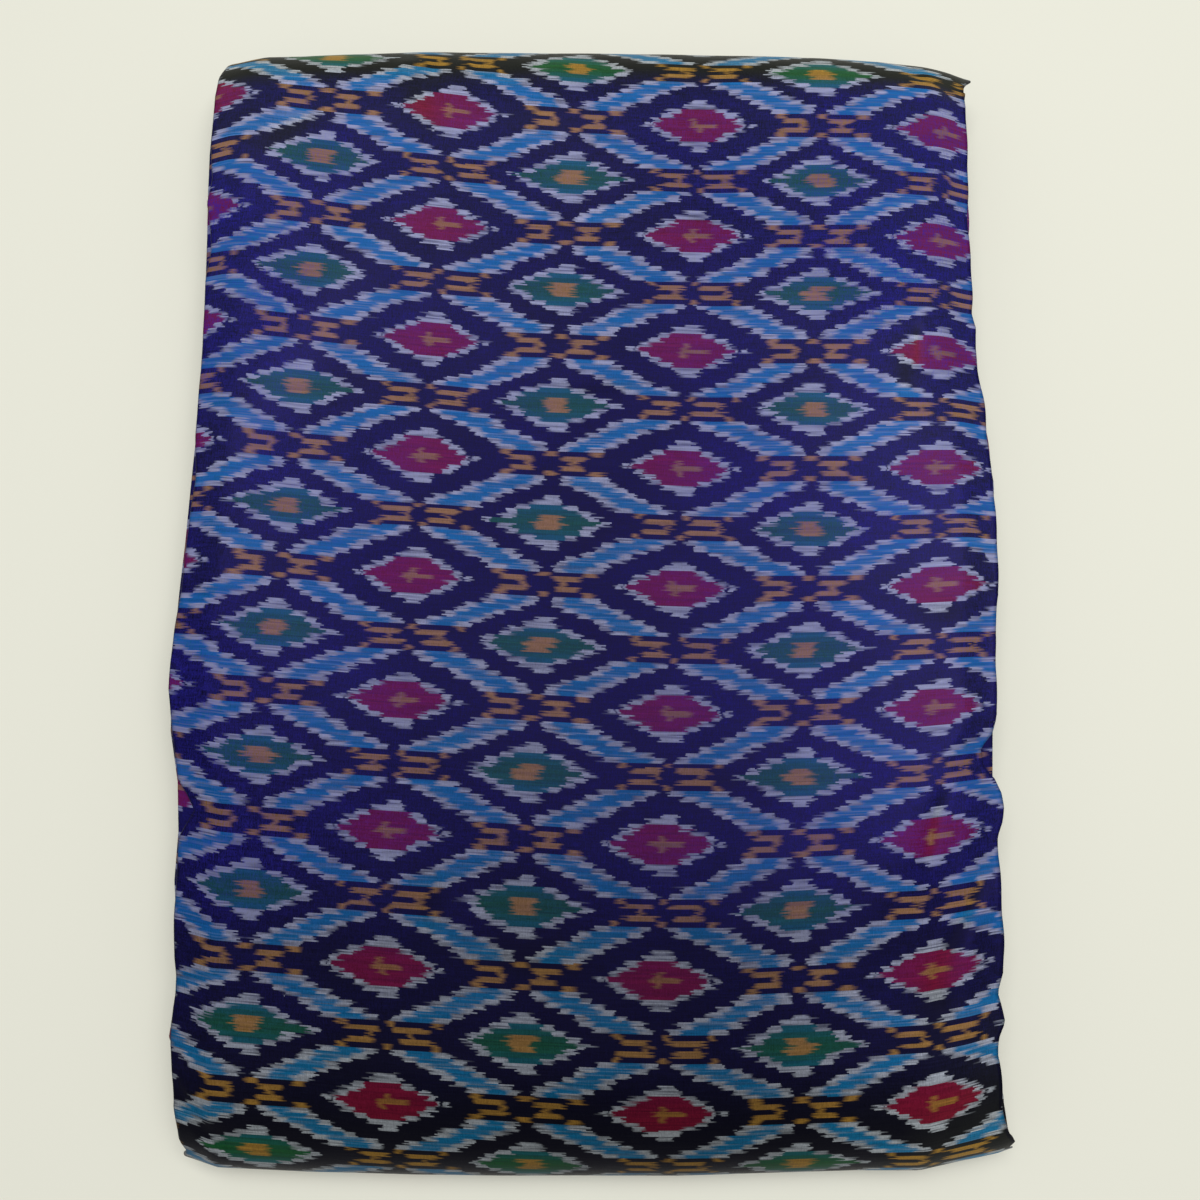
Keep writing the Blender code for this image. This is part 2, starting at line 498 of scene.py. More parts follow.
        near_wrap = self.wrap(self.near)
        far_wrap = list(reversed(self.wrap(self.far)))
        path = [(self.loose_end, self.height(0), 0.0)]
        path += run(path[-1], near_wrap[0][0], self.under_rows)
        first_outside = len(path)
        path += near_wrap
        path += run(path[-1], far_wrap[0][0], self.top_rows)
        path += far_wrap
        last_outside = len(path) - 1
        top = self.levels - 1
        turns = [(level, self.near, tuck) for level, tuck in zip(range(1, top, 2), self.near.tucks)]
        turns += [(level, self.far, tuck) for level, tuck in zip(range(2, top - 1, 2), self.far.tucks)]
        for level, end, tuck in sorted(turns, key=lambda entry: entry[0]):
            turn = self.turn(end, level, tuck)
            path += run(path[-1], turn[0][0], self.core_rows) + turn
        last_y = self.inner_reach(self.far, self.levels - 2)
        path += run(path[-1], last_y, self.core_rows)
        path.append((last_y, path[-1][1], path[-1][2]))
        places = np.array(path)
        parts = {
            Part.UNDERSIDE: (0, first_outside),
            Part.OUTSIDE: (first_outside, last_outside),
            Part.INSIDE: (last_outside, len(path) - 1),
        }
        return self.measured(places, parts[Part.OUTSIDE]), parts

    def measured(self, places: np.ndarray, outside: tuple[int, int]) -> Rows:
        """Add each row's distance along the cloth and its outward direction.

        Args:
            places: y, z and level of each row.
            outside: The first and last row of the outer turn.

        Returns:
            The rows, their distances counted from the middle of the top.
        """
        y, z, level = places.T
        steps = np.hypot(np.diff(y), np.diff(z))
        arc = np.concatenate([[0.0], np.cumsum(steps)])
        tangent_y, tangent_z = np.gradient(y, arc), np.gradient(z, arc)
        size = np.hypot(tangent_y, tangent_z)
        end_rows = 2 * self.wrap_rows
        on_top = slice(outside[0] + end_rows, outside[1] - end_rows)
        arc = arc - np.interp(0.0, y[on_top], arc[on_top])
        return Rows(y, z, level, arc, -tangent_z / size, tangent_y / size)

    def edge_line(self, edge: Edge, y: np.ndarray, level: np.ndarray) -> np.ndarray:
        """Where an edge lies along the path.

        Args:
            edge: Which of the two long sides.
            y: The y of each row.
            level: The level of each row.

        Returns:
            The edge's x at each row.
        """
        shifts = self.left_shifts if edge is Edge.LEFT else self.right_shifts
        column = edge.name.lower()
        shift = np.interp(level, np.arange(self.levels), shifts) * MILLIMETRE
        return table(self.edges, "y", column, y) + shift

    def ear(self, y: np.ndarray, level: np.ndarray, inside: np.ndarray) -> np.ndarray:
        """How far the right corners stick out at some places.

        Args:
            y: Their y.
            level: Their level.
            inside: Whether they are folded inside the outer turn.

        Returns:
            The distance at each place.
        """
        total = np.zeros(y.shape)
        for end in (self.near, self.far):
            out = eased((end.side * y - end.ear_start) / (end.reach - end.ear_start))
            up = eased(1.0 - np.abs(level - end.ear_middle) / end.ear_spread)
            total += end.ear_length * out * up * np.where(inside, end.inner_ear, 1.0)
        return total

    def shortfall(self, x: np.ndarray, y: np.ndarray) -> np.ndarray:
        """How far the rounded corners draw some places back.

        Args:
            x: The places across the bundle.
            y: The places along it.

        Returns:
            The share of y that each one loses.
        """
        near = table(self.ends, "x", "near", x) / self.near.reach
        far = table(self.ends, "x", "far", x) / self.far.reach
        return np.where(y < 0.0, near, far)


@dataclass
class Relief:
    """Everything that makes the top uneven: swells, creases and soft edges, with painted sheen, painted
    light and painted shade.
    """

    droop_width: float = 0.014
    droop: tuple[float, float] = (0.06, 0.10)
    ripple: float = 0.00022
    waves: tuple[Wave, ...] = (
        Wave(1.0, (91.0, 0.0, 0.0), 1.7, (0.0, 37.0, 0.6)),
        Wave(0.8, (0.0, 74.0, 0.0), 1.3, (53.0, 0.0, 2.1)),
        Wave(0.5, (190.0, -120.0, 0.9)),
    )
    # A painted shade along the folded edges: its width and how dark it is.
    rim_width: float = 0.0012
    rim_shade: float = 0.62
    # The painted light across the top weakens towards the far end, to nothing at this distance, and
    # strengthens towards the near end.
    depth_of_lustre: float = 0.27
    # Painted light across and along the top: violet scales the painted sheen, weft the painted
    # brightness of the wefts.
    across: tuple[Lustre, ...] = (
        Lustre(-0.140, 1.60, 1.10),
        Lustre(-0.118, 1.45, 1.06),
        Lustre(-0.086, 1.05, 1.00),
        Lustre(-0.050, 0.78, 0.96),
        Lustre(-0.016, 0.70, 0.91),
        Lustre(0.019, 0.80, 0.86),
        Lustre(0.053, 1.10, 0.90),
        Lustre(0.084, 1.34, 1.09),
        Lustre(0.112, 1.52, 1.28),
        Lustre(0.140, 1.60, 1.38),
    )
    along: tuple[Lustre, ...] = (
        Lustre(0.205, 1.00, 1.38),
        Lustre(0.180, 1.45, 1.34),
        Lustre(0.150, 1.65, 1.31),
        Lustre(0.060, 1.35, 1.12),
        Lustre(0.000, 1.05, 0.99),
        Lustre(-0.060, 1.05, 0.82),
        Lustre(-0.095, 1.10, 0.73),
        Lustre(-0.115, 0.75, 0.68),
        Lustre(-0.130, 0.38, 0.65),
        Lustre(-0.150, 0.32, 0.68),
        Lustre(-0.165, 0.20, 0.70),
        Lustre(-0.176, 0.10, 0.67),
        Lustre(-0.190, 0.04, 0.72),
        Lustre(-0.205, 0.03, 0.84),
    )
    swells: tuple[Swell, ...] = (
        Swell(-0.020, 0.020, 0.090, 0.130, -0.0006),
        Swell(-0.085, -0.040, 0.045, 0.080, 0.0007),
        Swell(0.075, 0.060, 0.040, 0.070, 0.0006),
        Swell(0.138, 0.082, 0.012, 0.020, -0.0012),
        Swell(0.121, -0.125, 0.009, 0.032, -0.0011, -24.0),
        Swell(0.132, -0.140, 0.009, 0.035, 0.0009, -24.0),
        Swell(0.106, -0.098, 0.011, 0.030, 0.0008, -10.0),
        Swell(-0.128, -0.176, 0.013, 0.022, -0.0012, 35.0),
        Swell(-0.030, 0.178, 0.060, 0.010, 0.0006),
    )
    creases: tuple[Crease, ...] = (
        Crease(
            ((0.1366, -0.1016), (0.1291, -0.1164), (0.1203, -0.1313), (0.1129, -0.1476)),
            0.0026, -0.0006, 0.75,
        ),
        Crease(
            ((0.1400, -0.1060), (0.1325, -0.1200), (0.1240, -0.1350), (0.1170, -0.1490)),
            0.0042, 0.0006,
        ),
        Crease(
            ((0.1234, -0.0743), (0.1180, -0.0874), (0.1138, -0.1056)),
            0.0021, -0.0005, 0.75,
        ),
        Crease(((0.1195, 0.0915), (0.1192, 0.0820), (0.1186, 0.0724)), 0.0018, -0.0006, 0.8),
        Crease(((0.1288, -0.1731), (0.1262, -0.1770), (0.1232, -0.1805)), 0.0018, -0.0007, 0.5),
        Crease(((0.1166, -0.1400), (0.1164, -0.1463), (0.1172, -0.1520)), 0.0018, -0.0006, 0.7),
        Crease(((-0.1351, -0.1746), (-0.1270, -0.1880), (-0.1127, -0.1977)), 0.0026, -0.0008, 0.3),
        Crease(((-0.1370, -0.1660), (-0.1330, -0.1730), (-0.1290, -0.1800)), 0.0022, 0.0009, 0.2),
        Crease(((0.1200, 0.1990), (0.1235, 0.1930), (0.1300, 0.1870)), 0.0020, -0.0010, 0.5),
        Crease(((-0.072, 0.186), (-0.069, 0.200)), 0.0024, 0.0009, 0.2),
        Crease(((-0.060, 0.184), (-0.058, 0.201)), 0.0028, -0.0008, 0.3),
        Crease(((-0.047, 0.187), (-0.046, 0.202)), 0.0022, 0.0008, 0.1),
        Crease(((-0.030, 0.185), (-0.033, 0.202)), 0.0030, -0.0007, 0.3),
        Crease(((-0.012, 0.188), (-0.011, 0.202)), 0.0026, 0.0007, 0.1),
        Crease(((0.006, 0.186), (0.008, 0.202)), 0.0026, -0.0006, 0.2),
    )
    # Spots where the violet sheen is painted out, a painted shade; height says how much.
    dull_spots: tuple[Swell, ...] = (
        Swell(-0.112, 0.167, 0.018, 0.0055, 0.8, 29.0),
        Swell(-0.128, 0.172, 0.026, 0.018, 0.5, 20.0),
        Swell(-0.064, 0.178, 0.0060, 0.014, 0.8, 25.0),
        Swell(0.1143, 0.0724, 0.0055, 0.013, 0.8),
        Swell(0.0040, 0.0656, 0.013, 0.0032, 0.45),
        Swell(0.1245, -0.0155, 0.010, 0.0055, 0.6),
        Swell(-0.0530, -0.1174, 0.0060, 0.012, 0.6),
        Swell(-0.0193, -0.1335, 0.018, 0.0070, 0.75),
        Swell(0.1150, -0.1463, 0.0070, 0.016, 0.8),
        Swell(-0.080, -0.166, 0.035, 0.010, 0.75),
        Swell(0.085, 0.075, 0.020, 0.012, 0.35),
        Swell(-0.130, 0.060, 0.010, 0.030, 0.25),
    )

    def height(self, x: np.ndarray, y: np.ndarray) -> np.ndarray:
        """How much higher the top lies than the flat plan, at some places.

        Args:
            x: The places across the bundle.
            y: The places along it.

        Returns:
            The height at each place, less than 0 in a hollow.
        """
        total = sum(swell.height * swell.weight(x, y) for swell in self.swells)
        total += sum(crease.height * crease.weight(x, y) for crease in self.creases)
        return total + self.ripple * sum(wave.height(x, y) for wave in self.waves)

    def slump(self, from_left: np.ndarray, from_right: np.ndarray) -> np.ndarray:
        """What is left of the height close to the folded edges.

        Args:
            from_left: The distances from the left edge.
            from_right: The distances from the right edge.

        Returns:
            The share of the height, 1 away from both edges.
        """
        left = eased(1.0 - from_left / self.droop_width)
        right = eased(1.0 - from_right / self.droop_width)
        return 1.0 - self.droop[0] * left - self.droop[1] * right

    def sheen(self, x: np.ndarray, y: np.ndarray) -> np.ndarray:
        """How strongly the painted violet sheen of the warps shows at some places.

        Args:
            x: The places across the bundle.
            y: The places along it.

        Returns:
            The strength at each place, about 1 on the flat top.
        """
        shown = table(self.across, "place", "violet", x) * table(self.along, "place", "violet", y)
        # Painted shade: the spots, then the creases, darken the violet sheen.
        for spot in self.dull_spots:
            shown *= 1.0 - spot.height * spot.weight(x, y)
        for crease in self.creases:
            shown *= 1.0 - crease.dull * crease.weight(x, y)
        return shown

    def lustre(self, x: np.ndarray, y: np.ndarray) -> np.ndarray:
        """The painted light on the wefts at some places, about 1 on the flat top: brighter towards the
        far end and the right, darker towards the near end.
        """
        across = table(self.across, "place", "weft", x) ** (1.0 - y / self.depth_of_lustre)
        return across * table(self.along, "place", "weft", y)


@dataclass
class FoldedCloth:
    """The whole cloth: outer turn, underside and everything folded inside."""

    plan: FoldPlan = field(default_factory=FoldPlan)
    relief: Relief = field(default_factory=Relief)
    half_width: float = 0.1415
    outer_offset: float = 0.0009
    inner_offset: float = 0.0003
    selvedge_insets: tuple[float, float] = (0.0032, 0.0022)
    lower_tuck: float = 0.0008
    seed: int = 11
    waver: float = 0.0006
    waver_rates: tuple[tuple[float, float], ...] = ((57.0, 1.0), (133.0, 0.6), (291.0, 0.35))
    calm_outside: float = 0.3
    fold_grip: int = 14
    right_phase: float = 0.7
    crowding: float = 0.075
    outer_columns: int = 132
    under_columns: int = 44
    wide_fold_strips: int = 8
    small_fold_strips: int = 5
    ply_lines: tuple[float, ...] = (
        0.0, 0.005, 0.012, 0.021, 0.032, 0.045, 0.062, 0.090, 0.160, 0.280, 0.420,
        0.580, 0.720, 0.840, 0.910, 0.938, 0.955, 0.968, 0.979, 0.988, 0.995, 1.0,
    )
    sink: tuple[float, ...] = (0.0, 0.0006, 0.0005, 0.00035)
    sink_from: float = 0.030
    outside_reach: float = 0.262
    level_wave: float = 0.00013
    level_wave_rates: tuple[float, float, float] = (70.0, 40.0, 2.4)
    # Where the painted sheen fades as the path steepens, and the lower painted sheen of faces turned
    # down.
    steep_from: float = 0.03
    steep_over: float = 0.34
    underside_sheen: float = 0.4
    cloth_size: tuple[float, float] = (1.14, 4.69)
    slip_lines: tuple[float, ...] = (-0.135, -0.090, -0.045, 0.0, 0.045, 0.090, 0.135)
    slips: tuple[Slip, ...] = (
        Slip(-0.220, (-14.0, -15.3, -16.6, -18.0, -19.6, -21.3, -23.2),
             (-18.1, -20.1, -22.1, -23.6, -24.5, -24.8, -24.8)),
        Slip(-0.195, (-17.2, -18.2, -19.1, -19.7, -20.4, -21.7, -23.4),
             (-19.8, -21.8, -24.1, -26.3, -27.3, -26.6, -25.4)),
        Slip(-0.165, (-20.3, -21.0, -21.5, -21.4, -21.5, -22.1, -23.5),
             (-21.6, -23.8, -26.1, -28.7, -29.8, -28.5, -26.3)),
        Slip(-0.130, (-22.4, -22.7, -22.7, -22.0, -21.5, -21.5, -22.3),
             (-22.3, -24.8, -27.0, -29.5, -30.6, -29.4, -27.1)),
        Slip(-0.095, (-22.7, -22.6, -22.1, -20.9, -20.3, -19.9, -20.4),
             (-21.5, -23.9, -26.2, -28.7, -30.0, -29.1, -27.3)),
        Slip(-0.055, (-21.4, -20.5, -19.6, -18.3, -17.6, -17.2, -17.6),
             (-20.3, -23.0, -25.6, -28.2, -29.6, -28.9, -27.3)),
        Slip(-0.015, (-18.5, -17.4, -16.6, -15.5, -14.7, -14.3, -14.9),
             (-19.6, -23.0, -25.8, -28.5, -30.0, -29.5, -27.9)),
        Slip(0.025, (-15.8, -15.2, -14.7, -13.7, -13.0, -12.6, -13.2),
             (-18.7, -22.9, -26.2, -28.8, -30.3, -30.0, -28.4)),
        Slip(0.065, (-13.9, -13.3, -12.7, -11.6, -10.8, -10.5, -10.9),
             (-17.4, -22.5, -26.3, -28.7, -29.9, -29.6, -28.2)),
        Slip(0.105, (-12.0, -11.1, -10.2, -9.0, -8.2, -7.8, -8.3),
             (-15.6, -21.7, -26.2, -28.5, -29.3, -28.6, -27.3)),
        Slip(0.145, (-10.2, -9.0, -8.0, -6.8, -6.1, -5.5, -5.8),
             (-13.7, -20.2, -25.3, -27.9, -28.6, -27.6, -26.0)),
        Slip(0.180, (-8.3, -6.9, -5.8, -4.9, -4.2, -3.6, -3.4),
             (-12.3, -18.6, -23.8, -26.9, -27.9, -27.1, -25.4)),
        Slip(0.215, (-6.3, -5.0, -4.0, -3.4, -2.8, -2.1, -1.2),
             (-11.6, -17.1, -22.1, -25.5, -27.1, -26.8, -25.6)),
    )

    def __post_init__(self) -> None:
        """Work out the rows and the folds' wavering once."""
        self.rows, self.parts = self.plan.rows()
        numbers = np.random.default_rng(self.seed)
        self.phases = numbers.uniform(0.0, 2.0 * math.pi, (4, len(self.waver_rates)))

    @property
    def small_radius(self) -> float:
        """The radius of the folds between two plies that lie next to each other."""
        return (self.outer_offset - self.inner_offset) / 2

    def shares(self, count: int) -> np.ndarray:
        """Places across a ply, closer together towards both edges."""
        even = np.linspace(0.0, 1.0, count + 1)
        return even - self.crowding * np.sin(2.0 * math.pi * even)

    def ply(self, number: int, shares: np.ndarray | tuple[float, ...]) -> list[Column]:
        """The lines of one ply between its two folds or its selvedge.

        Args:
            number: 0 for the top ply of a level, to 3 for its lowest.
            shares: Where its lines lie across the bundle, from 0 to 1.

        Returns:
            Its lines from left to right.
        """
        outer, inner = self.outer_offset, self.inner_offset
        right = self.small_radius + (self.lower_tuck if number > 1 else 0.0)
        wide = 2.0 * self.half_width
        offset = (outer, inner, -inner, -outer)[number]
        left = (outer, self.selvedge_insets[0], self.selvedge_insets[1], outer)[number]
        flip = (1, -1, 1, -1)[number]
        shift = (0.0, wide, -2.0 * wide, -wide)[number]
        left_fold = (0, 2, 3, 0)[number]
        right_fold = 1 if number < 2 else 3
        lines = []
        for share in shares:
            inset = left - (left + right) * share
            lines.append(
                Column(
                    share, inset, offset, inset, flip, shift, left_fold, right_fold, self.sink[number]
                )
            )
        return lines

    def fold(self, upper: Column, lower: Column, count: int) -> list[Column]:
        """The lines around a long fold, between two plies.

        Args:
            upper: The upper ply's last line before the fold.
            lower: The lower ply's line after it.
            count: How many strips the fold is divided into.

        Returns:
            Its lines from the upper ply to the lower one, without either.
        """
        radius = (upper.offset - lower.offset) / 2
        middle = (upper.offset + lower.offset) / 2
        outward = 1.0 if upper.share > 0.5 else -1.0
        lines = []
        for step in range(1, count):
            angle = math.pi * step / count
            lines.append(
                upper._replace(
                    inset=upper.inset + outward * radius * math.sin(angle),
                    offset=middle + radius * math.cos(angle),
                    shift=upper.shift + outward * upper.flip * radius * angle,
                )
            )
        return lines

    def wavering(self, arc: np.ndarray, fold: np.ndarray) -> np.ndarray:
        """How far the long folds waver from the plan's edges.

        Args:
            arc: The rows' distances along the cloth.
            fold: The number of the fold that each column wavers with.

        Returns:
            The distance, by row and column.
        """
        place = arc[:, None]
        waves = sum(
            strength * np.sin(place * rate + self.phases[fold, index][None, :])
            for index, (rate, strength) in enumerate(self.waver_rates)
        )
        calm = np.where(np.abs(place) < self.outside_reach, self.calm_outside, 1.0)
        return self.waver * waves * calm

    def lay(self, rows: Rows, columns: list[Column]) -> dict[str, np.ndarray]:
        """Find where a stretch of the cloth lies.

        Args:
            rows: Its places along the path.
            columns: Its lines along the cloth.

        Returns:
            Arrays by row and column: its places, its place on the flat cloth,
            the painted violet sheen of the warps and the painted light on the wefts.
        """
        plan, relief = self.plan, self.relief
        share, inset, offset, flat_inset, flip, shift = (
            np.array([column[index] for column in columns])[None, :] for index in range(6)
        )
        left_fold = np.array([column.left_fold for column in columns])
        right_fold = np.array([column.right_fold for column in columns])
        level = rows.level[:, None] + 0.0 * share
        inside = np.abs(rows.arc)[:, None] > self.outside_reach
        sink = np.array([column.sink for column in columns])[None, :]
        middle = eased(np.minimum(share, 1.0 - share) / self.sink_from)
        offset = offset - np.where(inside, 0.0, sink * middle)
        left = plan.edge_line(Edge.LEFT, rows.y, rows.level)[:, None]
        right = plan.edge_line(Edge.RIGHT, rows.y, rows.level)[:, None]
        straight = left + (right - left) * share
        x = straight + inset
        # rim is 1 at the folded edges, where a painted shade darkens the sheen and the painted light.
        rim = 1.0 - np.minimum(x - left, right - x) / relief.rim_width
        x += self.wavering(rows.arc, left_fold) * (1.0 - share) ** self.fold_grip
        x += self.wavering(rows.arc + self.right_phase, right_fold) * share**self.fold_grip
        cloth_u = flip * (straight + flat_inset) + shift
        y = rows.y[:, None] + rows.normal_y[:, None] * offset
        z = rows.z[:, None] + rows.normal_z[:, None] * offset
        by_x, by_y, by_level = self.level_wave_rates
        wave = self.level_wave * np.sin(x * by_x + y * by_y + by_level * level)
        z = z + inside * wave
        ear = plan.ear(y, level, inside)
        from_left, from_right = x - left, right - x
        x = x + ear * eased(1.0 - from_right / plan.ear_width)
        y = y * (1.0 - plan.shortfall(x, y))
        base = plan.sheet / 2
        lift = 1.0 + relief.height(x, y) / plan.top
        z = base + (z - base) * lift * relief.slump(from_left, from_right)
        across = self.slip("across", cloth_u + 0.0 * level, rows.arc)
        along = self.slip("along", cloth_u + 0.0 * level, rows.arc)
        # The violet sheen is painted: it fades where the path turns steeply towards an end, and faces
        # turned down get a lower, even painted sheen. The painted light on the wefts is kept to the
        # outer top.
        tilt = np.abs(rows.normal_y)[:, None] + 0.0 * share
        on_top = rows.normal_z[:, None] > 0.0
        # The painted shade along the folded edges.
        shade = 1.0 - relief.rim_shade * np.clip(rim, 0.0, 1.0)
        steep = eased((tilt - self.steep_from) / self.steep_over)
        sheen = relief.sheen(x, y) * (1.0 - steep) * shade
        return {
            "x": x,
            "y": y,
            "z": z,
            "u": cloth_u - across,
            "v": rows.arc[:, None] - along,
            "sheen": np.where(on_top, sheen, self.underside_sheen),
            "lustre": np.where(on_top & ~inside, relief.lustre(x, y) * shade, 1.0),
        }

    def slip(self, key: str, across: np.ndarray, arc: np.ndarray) -> np.ndarray:
        """Read the table of slips, straight between its lines and rows.

        Args:
            key: Which slip is read, across or along.
            across: Places across the flat cloth, by row and column.
            arc: The rows' distances along it.

        Returns:
            The slip in metres, by row and column.
        """
        places = [row.place for row in self.slips]
        lines = np.array([getattr(row, key) for row in self.slips]).T * MILLIMETRE
        by_row = np.stack([np.interp(arc, places, line) for line in lines], axis=1)
        return np.stack(
            [np.interp(row, self.slip_lines, slips) for row, slips in zip(across, by_row)]
        )

    def mesh(
        self,
        name: str,
        rows: Rows,
        columns: list[Column],
        left_out: set[tuple[int, int]] | None = None,
    ) -> bpy.types.Object:
        """Build a piece of the cloth: a flat grid, moved onto its folds.

        Args:
            name: The piece's name.
            rows: Its places along the path.
            columns: Its lines along the cloth.
            left_out: The faces, by row and column, that are another piece's.

        Returns:
            The new object.
        """
        laid = self.lay(rows, columns)
        row_count, column_count = laid["x"].shape
        grid = bmesh.new()
        bmesh.ops.create_grid(
            grid, x_segments=column_count - 1, y_segments=row_count - 1, size=0.5
        )
        if left_out:
            doomed = [
                face for face in grid.faces if self.cell(face, row_count, column_count) in left_out
            ]
            bmesh.ops.delete(grid, geom=doomed, context="FACES")
        mesh = bpy.data.meshes.new(name)
        grid.to_mesh(mesh)
        grid.free()
        flat = np.zeros(3 * len(mesh.vertices))
        mesh.vertices.foreach_get("co", flat)
        flat = flat.reshape(-1, 3)
        column = np.rint((flat[:, 0] + 0.5) * (column_count - 1)).astype(int)
        row = np.rint((flat[:, 1] + 0.5) * (row_count - 1)).astype(int)
        places = np.stack([laid[axis][row, column] for axis in "xyz"], axis=1)
        mesh.vertices.foreach_set("co", places.ravel())
        corners = np.zeros(len(mesh.loops), int)
        mesh.loops.foreach_get("vertex_index", corners)
        cloth = np.stack([laid["u"][row, column], laid["v"][row, column]], axis=1)
        self.add_map(mesh, CLOTH_MAP, cloth[corners])
        across = self.spread(laid["x"], laid["z"], 1)[column]
        along = self.spread(laid["y"], laid["z"], 0)[row]
        self.add_map(mesh, BAKE_MAP, np.stack([across, along], axis=1)[corners])
        for attribute, key in ((SHEEN, "sheen"), (PAINTED_WEFT_LIGHT, "lustre")):
            values = mesh.attributes.new(attribute, "FLOAT", "POINT")
            values.data.foreach_set("value", laid[key][row, column])
        mesh.shade_smooth()
        mesh.update()
        piece = bpy.data.objects.new(name, mesh)
        bpy.context.scene.collection.objects.link(piece)
        return piece

    @staticmethod
    def cell(face: bmesh.types.BMFace, row_count: int, column_count: int) -> tuple[int, int]:
        """Find which of a flat grid's cells a face is.

        Args:
            face: The face.
            row_count: How many rows of points the grid has.
            column_count: How many columns of points it has.

        Returns:
            Its row and column.
        """
        middle = face.calc_center_median()
        row = int((middle.y + 0.5) * (row_count - 1))
        column = int((middle.x + 0.5) * (column_count - 1))
        return row, column

    @staticmethod
    def spread(first: np.ndarray, second: np.ndarray, axis: int) -> np.ndarray:
        """Lay out a grid's rows or columns by their real distances.

        Args:
            first: One coordinate of its points, by row and column.
            second: The other one.
            axis: 0 for rows and 1 for columns.

        Returns:
            A place for each, from near 0 to near 1.
        """
        steps = np.hypot(np.diff(first, axis=axis), np.diff(second, axis=axis))
        total = np.concatenate([[0.0], np.cumsum(steps.mean(axis=1 - axis))])
        return MAP_MARGIN + (1.0 - 2.0 * MAP_MARGIN) * total / total[-1]

    @staticmethod
    def add_map(mesh: bpy.types.Mesh, name: str, corners: np.ndarray) -> None:
        """Give a mesh a UV map, from two numbers for each face corner."""
        layer = mesh.uv_layers.new(name=name)
        layer.uv.foreach_set("vector", corners.astype(np.float32).ravel())

    def build(self) -> tuple[bpy.types.Object, bpy.types.Object, bpy.types.Object]:
        """Build the whole cloth.

        Returns:
            The outer turn, the underside, and the plies folded inside.
        """
        outside = self.rows.cut(*self.parts[Part.OUTSIDE])
        underside = self.rows.cut(*self.parts[Part.UNDERSIDE])
        outer = self.mesh("outer_fold", outside, self.top_ply(self.outer_columns))
        under = self.mesh("under_fold", underside, self.top_ply(self.under_columns))
        plies = [self.ply(number, self.ply_lines) for number in range(4)]
        right_low = self.fold(plies[2][-1], plies[3][-1], self.small_fold_strips)
        left = list(reversed(self.fold(plies[0][0], plies[3][0], self.wide_fold_strips)))
        right_high = self.fold(plies[0][-1], plies[1][-1], self.small_fold_strips)
        columns = plies[2] + right_low + list(reversed(plies[3]))
        first = len(columns) - 1
        columns = columns + left + plies[0] + right_high
        last = len(columns)
        columns = columns + list(reversed(plies[1]))
        stop = self.parts[Part.OUTSIDE][1]
        left_out = {(row, column) for row in range(stop) for column in range(first, last)}
        inner = self.mesh("folded_plies", self.rows, columns, left_out)
        return outer, under, inner

    def top_ply(self, count: int) -> list[Column]:
        """The outer ply with the folds at both of its edges.

        Args:
            count: How many strips it is divided into between its folds.

        Returns:
            Its lines from the lower left one to the lower right one.
        """
        top = self.ply(0, self.shares(count))
        low, second = self.ply(3, (0.0, 1.0))[0], self.ply(1, (0.0, 1.0))[-1]
        left = [*self.fold(top[0], low, self.wide_fold_strips), low]
        left[-1] = top[0]._replace(
            offset=low.offset, shift=top[0].shift - math.pi * self.outer_offset
        )
        right = self.fold(top[-1], second, self.small_fold_strips)
        right.append(
            top[-1]._replace(
                offset=second.offset, shift=top[-1].shift + math.pi * self.small_radius
            )
        )
        return list(reversed(left)) + top + right


def linear(red: int, green: int, blue: int) -> tuple[float, float, float, float]:
    """A screen colour, from 0 to 255, as the shader's linear colour."""

    def channel(value: int) -> float:
        """One of its three values."""
        share = value / 255
        return share / 12.92 if share <= 0.04045 else ((share + 0.055) / 1.055) ** 2.4

    return channel(red), channel(green), channel(blue), 1.0


class Streak(NamedTuple):
    """A noise over the cloth, varying about zero.

    first and second say how fast it varies with its two coordinates, amount is
    what it is multiplied by, and detail how many finer layers it has.
    """

    first: float
    second: float
    amount: float = 1.0
    detail: float = 0.0


